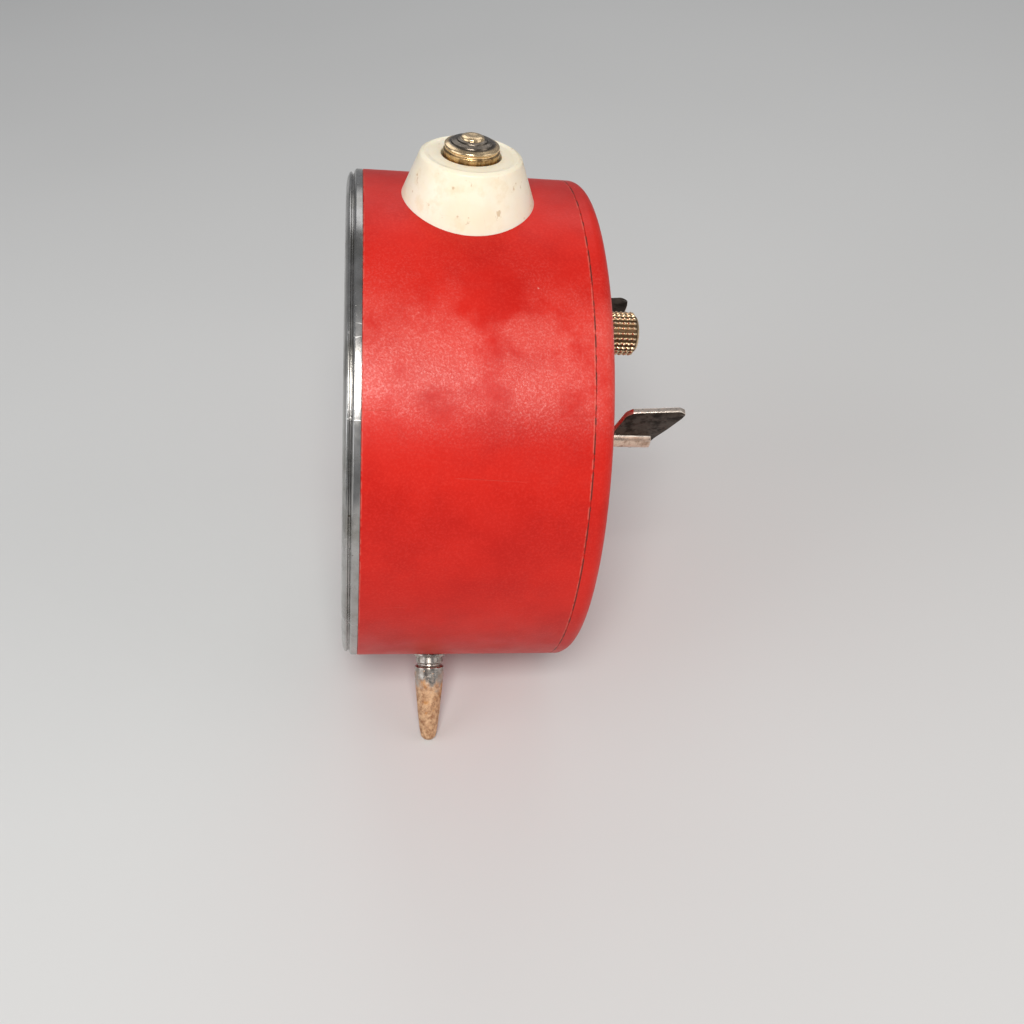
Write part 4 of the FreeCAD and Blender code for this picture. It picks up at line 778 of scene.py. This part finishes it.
def make_collar(plastic):
    """The collar: a cone with a rounded lip, cut to the drum underneath."""
    top = top_frame()
    _, high, base_r = heights("button_collar", top)
    lip_r = 9.25 * MM
    hole_r = 5.35 * MM
    points = [
        (hole_r, CASE_R - 4 * MM, 0),
        (base_r + 1.0 * MM, CASE_R - 4 * MM, 0),
        (base_r - 0.3 * MM, CASE_R - 0.3 * MM, 0),
        (lip_r + 0.05 * MM, high - 0.35 * MM, 0.55 * MM),
        (lip_r - 0.7 * MM, high, 0.35 * MM),
        (lip_r - 1.6 * MM, high - 0.14 * MM, 0.5 * MM),
        (hole_r + 0.15 * MM, high - 0.08 * MM, 0.25 * MM),
        (hole_r, high - 1.2 * MM, 0.2 * MM),
    ]
    cone = lathe_mesh("button_collar_skin", soften(points, 0.2 * MM, 7), 256, True)
    half = 30 * MM
    drum_profile = [(0, -half), (CASE_R, -half), (CASE_R, half), (0, half)]
    drum = lathe_mesh("drum_cutter", drum_profile, 512, False)
    drum.transform(Matrix.Rotation(math.radians(90), 4, "X"))
    mesh = carved(cone, [drum])
    finished("button_collar_skin", mesh, top, plastic, "root", ["button_collar"])


def make_button():
    """The stop button: a grooved rim, a stepped cone and a boss, measured down from its top."""
    top = top_frame()
    low, high, radius = heights("stop_button", top)
    head = top @ Matrix.Translation((0, 0, high))
    r = radius - 0.4 * MM
    points = [
        (0.0, low - high),
        (r - 0.1 * MM, low - high, 0.2 * MM),
        (r - 0.02 * MM, -4.0 * MM, 0.3 * MM),
        (r - 0.02 * MM, -3.05 * MM, 0.35 * MM),
        (r - 0.32 * MM, -2.85 * MM, 0.12 * MM),
        (r - 0.32 * MM, -2.65 * MM, 0.12 * MM),
        (r - 0.12 * MM, -2.45 * MM, 0.22 * MM),
        (r - 0.2 * MM, -2.1 * MM, 0.25 * MM),
        (r - 0.7 * MM, -1.92 * MM, 0.25 * MM),
        (r - 1.2 * MM, -1.72 * MM, 0.15 * MM),
        (r - 1.35 * MM, -1.52 * MM, 0.12 * MM),
        (r - 2.25 * MM, -1.30 * MM, 0.15 * MM),
        (r - 2.4 * MM, -1.10 * MM, 0.12 * MM),
        (r - 3.05 * MM, -0.98 * MM, 0.1 * MM),
        (r - 3.15 * MM, -0.66 * MM, 0.2 * MM),
        (r - 3.7 * MM, -0.48 * MM, 0.3 * MM),
        (r - 4.2 * MM, -0.46 * MM, 0.2 * MM),
        (0.0, -0.5 * MM),
    ]
    mesh = lathe_mesh("stop_button_cap", soften(points, 0.15 * MM, 6, False), 192, False)
    brass = button_brass(r, r - 3.1 * MM)
    finished("stop_button_cap", mesh, head, brass, "stop_button", ["stop_button"])


# ---- legs ----


def leg_frame(name):
    """A leg's own frame, z along the leg from the drum's skin, and the leg's length."""
    corners = [TO_DRUM @ corner.co for corner in frame["nodes"][name].data.vertices]
    depth = (min(place.z for place in corners) + max(place.z for place in corners)) / 2
    middle = sum(corners, Vector()) / len(corners)
    splay = math.atan2(middle.x, -middle.y)
    outward = Vector((math.sin(splay), -math.cos(splay), 0))
    reach = max(place.dot(outward) for place in corners)
    rear = Vector((0, 0, 1))
    local = Matrix((rear.cross(outward), rear, outward)).transposed().to_4x4()
    local.translation = outward * CASE_R + Vector((0, 0, depth))
    return local, reach - CASE_R


def leg_profile(length):
    """A leg's turned section: a washer, a grooved neck and a tapering foot."""
    points = [
        (0.0, -1.0 * MM),
        (1.4 * MM, -1.0 * MM, 0),
        (1.4 * MM, 0.1 * MM, 0),
        (3.45 * MM, 0.12 * MM, 0.15 * MM),
        (3.4 * MM, 0.7 * MM, 0.22 * MM),
        (2.75 * MM, 0.85 * MM, 0.1 * MM),
        (2.85 * MM, 2.2 * MM, 0.3 * MM),
        (2.45 * MM, 2.45 * MM, 0.12 * MM),
        (2.5 * MM, 2.75 * MM, 0.12 * MM),
        (3.08 * MM, 3.05 * MM, 0.35 * MM),
        (3.08 * MM, 5.0 * MM, 2.0 * MM),
        (2.3 * MM, length - 5.5 * MM, 3.0 * MM),
        (1.76 * MM, length - 1.9 * MM, 1.0 * MM),
        (1.5 * MM, length - 0.85 * MM, 0.6 * MM),
        (0.85 * MM, length - 0.25 * MM, 0.5 * MM),
        (0.0, length - 0.03 * MM),
    ]
    return open_divided(soften(points, 0.15 * MM, 8, False), 0.25 * MM)


def make_legs():
    """Both legs, crusted with rust towards the foot."""
    for node in ("leg_left", "leg_right"):
        local, length = leg_frame(node)
        name = node + "_turned"
        mesh = lathe_mesh(name, leg_profile(length), 128, False, crust(length))
        finished(name, mesh, DRUM @ local, leg_metal(length), "root", [node], 40)


def crust(length):
    """The rust on a leg's foot, as a shift of its corners that fades out before the tip."""

    def crusted(corner):
        share = max(0.0, min(1.0, (corner.z - 0.28 * length) / (0.3 * length)))
        rough = noise.fractal(corner * 900, 0.8, 2.1, 4) * 0.05 * MM
        lump = max(0.0, noise.noise(corner * 520 + Vector((3, 7, 1))) - 0.25) * 0.22 * MM
        outward = Vector((corner.x, corner.y, 0)).normalized()
        fade = max(0.0, min(1.0, (length - corner.z - 2.0 * MM) / (3.0 * MM)))
        return corner + outward * (rough + lump - 0.04 * MM) * share * fade

    return crusted


def open_divided(points, longest):
    """Add points along the longer runs of an open outline."""
    result = []
    for here, after in zip(points, points[1:]):
        start, run = Vector(here), Vector(after) - Vector(here)
        beside_axis = min(here[0], after[0]) < ON_AXIS
        pieces = 1 if beside_axis else max(1, math.ceil(run.length / longest))
        result.extend(tuple(start + run * step / pieces) for step in range(pieces))
    return result + [points[-1]]


# ---- keys and knobs ----


KNURL = 0.44 * MM


def make_knob(name, node, body, centre, brass):
    """A domed cap, open behind, whose straight ribs are notched across by the knurling wheel."""
    start, end, radius = measure(node, centre)
    ribs = 24
    steps_per_rib = 10
    notch_pitch = 0.95 * MM
    bore_r, bore_end = 1.25 * MM, start + 2.1 * MM
    core = radius - KNURL
    rings = soften(
        [
            (bore_r, start, 0),
            (core - 0.6 * MM, start, 0.25 * MM),
            (core, start + 0.45 * MM, 0.2 * MM),
            (core, end - 0.95 * MM, 0.3 * MM),
            (core - 0.55 * MM, end - 0.3 * MM, 0.5 * MM),
            (core - 2.0 * MM, end - 0.02 * MM, 0.8 * MM),
            (0.0, end),
        ],
        0.2 * MM,
        5,
        False,
    )
    rings = open_divided(rings, 0.12 * MM)
    low, high = start + 0.5 * MM, end - 0.75 * MM

    def knurled(corner):
        from_end = min(corner.z - low, high - corner.z)
        along = max(0.0, min(1.0, from_end / (0.3 * MM)))
        distance = math.hypot(corner.x, corner.y)
        if distance < core - 0.2 * MM:
            return corner
        angle = math.atan2(corner.y, corner.x)
        rib = max(0.0, math.cos(angle * ribs)) ** 0.6
        turns = (corner.z - low) / notch_pitch
        notch = 0.5 + 0.5 * math.cos(2 * math.pi * turns + 0.9 * math.sin(angle * 3))
        lift = KNURL * rib * (0.35 + 0.65 * notch) * along
        wear = noise.noise(corner * 700) * 0.02 * MM
        return corner + Vector((corner.x, corner.y, 0)) / distance * (lift + wear * along)

    profile = [(0.0, bore_end), (bore_r, bore_end)] + rings
    mesh = lathe_mesh(name, profile, ribs * steps_per_rib, False, knurled)
    matrix = DRUM @ Matrix.Translation((*centre, 0))
    finished(name, mesh, matrix, brass, body, [node], 50)


WING_THICK = 1.1 * MM
WING_SLOT_DEPTH = 7.6 * MM
KEY_BORE_R = 1.22 * MM


def wing_size(node, centre):
    """The direction of a key's wing, and its least and greatest reach and depth."""
    axis = Vector((*centre, 0))
    places = [TO_DRUM @ corner.co - axis for corner in frame["nodes"][node].data.vertices]
    tips = sorted(places, key=lambda place: math.hypot(place.x, place.y))[-4:]
    tip = sum(tips, Vector()) / len(tips)
    turn = math.atan2(tip.y, tip.x)
    along = Vector((math.cos(turn), math.sin(turn), 0))
    reaches = [place.dot(along) for place in places]
    depths = [place.z for place in places]
    return turn, min(reaches), max(reaches), min(depths), max(depths)


def wing_outline(near, far, low, high, hub_end):
    """The wing seen flat: its distance from the key's axis, and its depth behind the drum's front."""
    points = [
        (near, hub_end - 3.4 * MM, 1.2 * MM),
        (near + 0.7 * MM, hub_end - 4.4 * MM, 0.6 * MM),
        (3.0 * MM, hub_end - 7.9 * MM, 0.8 * MM),
        (far - 2.2 * MM, low - 0.2 * MM, 1.6 * MM),
        (far - 1.0 * MM, hub_end - 5.6 * MM, 0.8 * MM),
        (far - 0.02 * MM, high - 1.4 * MM, 1.4 * MM),
        (far - 0.9 * MM, high, 0.9 * MM),
        (far - 2.6 * MM, high - 0.35 * MM, 1.5 * MM),
        (4.3 * MM, hub_end + 2.6 * MM, 4.0 * MM),
        (0.9 * MM, hub_end + 0.9 * MM, 3.0 * MM),
        (near + 0.9 * MM, hub_end - 0.1 * MM, 1.2 * MM),
    ]
    return soften(points, 0.8 * MM, 8)


def tube_mesh(name, node, centre):
    """A key's tube, with the slot that its wing stands in."""
    start, end, radius = measure(node, centre)
    outer_r = radius - 0.02 * MM
    profile = [
        (KEY_BORE_R, start, 0),
        (outer_r, start, 0.15 * MM),
        (outer_r, end, 0.3 * MM),
        (KEY_BORE_R, end, 0.15 * MM),
    ]
    tube = lathe_mesh(name, soften(profile, 0.2 * MM), 96, True)
    half, reach = WING_THICK / 2, 6 * MM
    slot = slab_mesh("slot", [(-reach, -half), (reach, -half), (reach, half), (-reach, half)], 10 * MM)
    slot.transform(Matrix.Translation((0, 0, end - WING_SLOT_DEPTH)))
    return carved(tube, [slot])


def make_key(prefix, body, centre, face, rim, tube):
    """One winding key: the slotted tube and the flat wing that stands in it."""
    hub, wing = prefix + "_key_hub", prefix + "_key_wing"
    turn, near, far, low, high = wing_size(wing, centre)
    stand = Matrix.Translation((*centre, 0)) @ Matrix.Rotation(turn, 4, "Z")
    matrix = DRUM @ stand

    name = prefix + "_key_flag"
    hub_end = measure(hub, centre)[1]
    mesh = slab_mesh(name, wing_outline(near, far, low, high, hub_end), WING_THICK, 0.16 * MM)
    # Flat faces take the first material, the painted shade; the edges take the second, the painted highlight.
    for polygon in mesh.polygons:
        polygon.material_index = 0 if abs(polygon.normal.z) > 0.9 else 1
    upright = Matrix(((1, 0, 0, 0), (0, 0, 1, -WING_THICK / 2), (0, 1, 0, 0), (0, 0, 0, 1)))
    mesh.transform(upright)
    tidy_normals(mesh)
    finished(name, mesh, matrix, [face, rim], body, [wing])

    name = prefix + "_key_tube"
    finished(name, tube_mesh(name, hub, centre), matrix, tube, body, [hub])


# ---- dial and hands ----


NUMERAL_R, NUMERAL_SIZE = 31.0 * MM, 9.2 * MM
DOT_PLACE_R, DOT_R = 38.2 * MM, 0.85 * MM
TRACK_IN, TRACK_OUT = 40.0 * MM, 42.2 * MM
SHORT_TICK_IN = 40.9 * MM
ALARM_TRACK_R, ALARM_TICK_OUT = 14.6 * MM, 16.2 * MM
PRINT_SINK, PRINT_RISE = 0.02 * MM, 0.03 * MM
SHOWN_HOUR, SHOWN_MINUTE = 10, 9


def flat_text(text, size, thick):
    """A generic numeral as a thin plate, centred on its own middle."""
    curve = bpy.data.curves.new("numeral", "FONT")
    curve.body = text
    curve.size = size
    curve.align_x = "CENTER"
    curve.align_y = "CENTER"
    curve.extrude = thick / 2
    curve.resolution_u = 6
    holder = bpy.data.objects.new("numeral", curve)
    bpy.context.scene.collection.objects.link(holder)
    bpy.context.view_layer.update()
    graph = bpy.context.evaluated_depsgraph_get()
    mesh = bpy.data.meshes.new_from_object(holder.evaluated_get(graph))
    bpy.data.objects.remove(holder)
    xs = [corner.co.x for corner in mesh.vertices]
    ys = [corner.co.y for corner in mesh.vertices]
    centre = Vector(((min(xs) + max(xs)) / 2, (min(ys) + max(ys)) / 2, 0))
    mesh.transform(Matrix.Translation(-centre))
    return mesh


def dial_place(radius, degrees, depth):
    """A point of the dial, its angle clockwise from twelve as seen from the front."""
    angle = math.radians(90 + degrees)
    return Vector((radius * math.cos(angle), radius * math.sin(angle), depth))


def tick_mesh(inner, outer, half, degrees, face):
    """One printed stroke of a track, from the inner to the outer radius."""
    outline = [(-half, inner), (half, inner), (half, outer), (-half, outer)]
    tick = slab_mesh("tick", outline, PRINT_SINK + PRINT_RISE)
    turn = Matrix.Rotation(math.radians(degrees), 4, "Z")
    tick.transform(turn @ Matrix.Translation((0, 0, face - PRINT_SINK)))
    return tick


def track_mesh(radius, face):
    """One printed circle."""
    half = 0.09 * MM
    inner, outer = radius - half, radius + half
    near, far = face - PRINT_SINK, face + PRINT_RISE
    return lathe_mesh("track", [(inner, near), (outer, near), (outer, far), (inner, far)], 192, True)


def make_dial(card, ink, lume):
    """The dial's print: numerals, minute and alarm tracks, and a dot of lume at each hour."""
    face = DIAL_DEPTH - 0.04 * MM
    seen_from_front = Matrix.Rotation(math.pi, 4, "Y")
    numerals = []
    dots = []
    for hour in range(1, 13):
        numeral = flat_text(str(hour), NUMERAL_SIZE, 0.06 * MM)
        numeral.transform(seen_from_front)
        numeral.transform(Matrix.Translation(dial_place(NUMERAL_R, hour * 30, face)))
        numerals.append(numeral)
        dot = rod_mesh(DOT_R, face - 0.06 * MM, face + 0.02 * MM, steps=32)
        dot.transform(Matrix.Translation(dial_place(DOT_PLACE_R, hour * 30, 0)))
        dots.append(dot)
    ticks = []
    for minute in range(60):
        inner, half = (TRACK_IN, 0.42 * MM) if minute % 5 == 0 else (SHORT_TICK_IN, 0.16 * MM)
        ticks.append(tick_mesh(inner, TRACK_OUT, half, minute * 6, face))
    ticks += [track_mesh(radius, face) for radius in (ALARM_TRACK_R, TRACK_IN, TRACK_OUT)]
    for hour in range(12):
        ticks.append(tick_mesh(ALARM_TRACK_R, ALARM_TICK_OUT, 0.2 * MM, hour * 30, face))
    finished("dial_numerals", joined("dial_numerals", numerals), DRUM, ink, "root")
    finished("dial_track", joined("dial_track", ticks), DRUM, ink, "root")
    finished("dial_dots", joined("dial_dots", dots), DRUM, lume, "root")
    paint_node("dial", card)
    paint_node("dial_ring", card)


def paint_node(name, material):
    """Give a CAD node its finish."""
    node = frame["nodes"][name]
    node.data.materials.clear()
    node.data.materials.append(material)


def make_lume(node, body, degrees, length, width, lume):
    """The strip of lume on a hand's blade, where the hand stands at rest."""
    foot, widest, tip = length * 0.2, length * 0.61, length * 0.86
    narrow, broad = width * 0.18, width * 0.55
    outline = [(-narrow, foot), (narrow, foot), (broad, widest), (0, tip), (-broad, widest)]
    mesh = slab_mesh(node + "_lume", outline, 0.06 * MM, 0.02 * MM)
    front = measure(node)[0]
    turn = Matrix.Rotation(math.radians(degrees), 4, "Z")
    matrix = DRUM @ turn @ Matrix.Translation((0, 0, front - 0.04 * MM))
    finished(node + "_lume", mesh, matrix, lume, body)


def make_hands(black, lume, red):
    """The hands' paint and lume."""
    paint_node("minute_hand", black)
    paint_node("hour_hand", black)
    paint_node("alarm_hand", red)
    make_lume("minute_hand", "centre", SHOWN_MINUTE * 6, 36 * MM, 1.7 * MM, lume)
    make_lume("hour_hand", "hour", SHOWN_HOUR * 30 + SHOWN_MINUTE / 2, 25 * MM, 2.1 * MM, lume)


# ---- inside ----


def finish_inside(brass, steel, spring, bell):
    """Plain metal finishes for the pieces that the case hides."""
    by_slot = {"plate_brass": brass, "arbor_steel": steel, "spring_steel": spring, "bell_steel": bell}
    for entry in frame["record"]["subparts"]:
        material = by_slot.get(entry["material_slot"])
        if material:
            paint_node(entry["node"], material)


# ---- stage ----


def make_stage():
    """A plain pale floor."""
    size = 6.0
    floor = bpy.data.meshes.new("floor")
    corners = [(-size, -size, 0), (size, -size, 0), (size, size, 0), (-size, size, 0)]
    floor.from_pydata(corners, [], [(0, 1, 2, 3)])
    plane = bpy.data.objects.new("floor", floor)
    bpy.context.scene.collection.objects.link(plane)
    s = Shader("floor_paper", on_cad=True, Roughness=0.85, Specular_IOR_Level=0.25)
    tone = s.span(s.noise(0.5, 3), 0.3, 0.7)
    s.set("Base Color", s.mix(tone, (0.64, 0.64, 0.635), (0.68, 0.68, 0.675)))
    floor.materials.append(s.material)


def add_light(name, offset, size, power, colour=(1, 1, 1)):
    """A soft rectangular light that looks at the middle of the drum."""
    target = box_middle("case_band")
    place = target + Vector(offset)
    data = bpy.data.lights.new(name, "AREA")
    data.shape = "RECTANGLE"
    data.size, data.size_y = size
    data.energy = power
    data.color = colour
    lamp = bpy.data.objects.new(name, data)
    bpy.context.scene.collection.objects.link(lamp)
    lamp.location = place
    lamp.rotation_euler = (target - place).to_track_quat("-Z", "Y").to_euler()


def make_lights():
    """A warm key light, cooler fills in front and behind, a rim light and a dim sky."""
    add_light("key", (0.52, -0.02, 0.60), (0.30, 0.24), 4.6, (1.0, 0.975, 0.94))
    add_light("fill_front", (0.30, -0.9, 0.40), (0.8, 0.8), 2.8, (0.96, 0.98, 1.0))
    add_light("fill_rear", (0.35, 0.9, 0.45), (0.7, 0.7), 2.0, (1.0, 0.985, 0.96))
    add_light("rim", (-0.8, 0.1, 0.7), (0.8, 0.5), 1.4)
    world = bpy.data.worlds.new("studio")
    world.use_nodes = True
    sky = world.node_tree.nodes["Background"]
    sky.inputs["Color"].default_value = (0.80, 0.82, 0.85, 1)
    sky.inputs["Strength"].default_value = 0.30
    bpy.context.scene.world = world
    bpy.context.scene.view_settings.view_transform = "Standard"


def make_camera():
    """The view from the clock's right side, and a little above it."""
    place = Vector((-189.4, 132.7, -1.6)) * MM
    forward = Vector((0.758, -0.635, 0.148)).normalized()
    up = Vector((0.643, 0.765, -0.011))
    back = -forward
    right = up.cross(back).normalized()
    up = back.cross(right)
    turn = Matrix((right, up, back)).transposed().to_4x4()
    turn.translation = place
    data = bpy.data.cameras.new("camera")
    data.sensor_width = 36
    data.lens = 37.9
    camera = bpy.data.objects.new("camera", data)
    bpy.context.scene.collection.objects.link(camera)
    camera.matrix_world = DRUM @ turn
    bpy.context.scene.camera = camera


# ---- assembly ----


def build():
    """Every piece of the clock, with its finish."""
    red = enamel()
    make_case_band(red)
    make_back_cover(red)
    make_bezel(chrome())
    make_crystal(crystal())
    make_collar(ivory())
    make_button()
    make_legs()
    rib_r = measure("time_set_knob", TIME_KNOB)[2]
    knob = knob_brass(rib_r - KNURL, rib_r)
    make_knob("time_set_cap", "time_set_knob", "time_set", TIME_KNOB, knob)
    make_knob("alarm_set_cap", "alarm_set_knob", "alarm_set", ALARM_KNOB, knob)
    # One steel painted twice: the wing's flat faces near black as painted shade, and its edges pale as a painted
    # highlight.
    face = worn_steel("key_face_painted_shade", (0.075, 0.056, 0.044), (0.028, 0.020, 0.015), 0.6, 0.40)
    rim = worn_steel("key_rim_painted_highlight", (0.88, 0.75, 0.65), (0.60, 0.44, 0.35), 0.40, 0.30)
    tube = worn_steel("key_tube", (0.78, 0.58, 0.46), (0.46, 0.31, 0.23), 0.55, 0.32)
    make_key("time", "time_winding", TIME_KEY, face, rim, tube)
    make_key("alarm", "alarm_winding", ALARM_KEY, face, rim, tube)
    card = printed("dial_card", (0.80, 0.76, 0.66), (0.58, 0.46, 0.28), on_cad=True)
    ink = printed("dial_ink", (0.02, 0.02, 0.022), (0.05, 0.045, 0.04), 0.5)
    lume = printed("lume_paint", (0.46, 0.54, 0.27), (0.36, 0.34, 0.18), 0.75)
    make_dial(card, ink, lume)
    black = painted("hand_black", (0.022, 0.022, 0.024), (0.32, 0.30, 0.27))
    alarm_red = painted("alarm_hand_red", (0.45, 0.03, 0.02), (0.5, 0.42, 0.32))
    make_hands(black, lume, alarm_red)
    steel = brushed("arbor_steel", (0.62, 0.62, 0.63))
    spring = brushed("spring_steel", (0.42, 0.43, 0.46), 0.32)
    brass = brushed("plate_brass", (0.72, 0.55, 0.26))
    finish_inside(brass, steel, spring, brushed("bell_steel", (0.66, 0.65, 0.62), 0.2))


make_camera()
make_stage()
make_lights()
build()
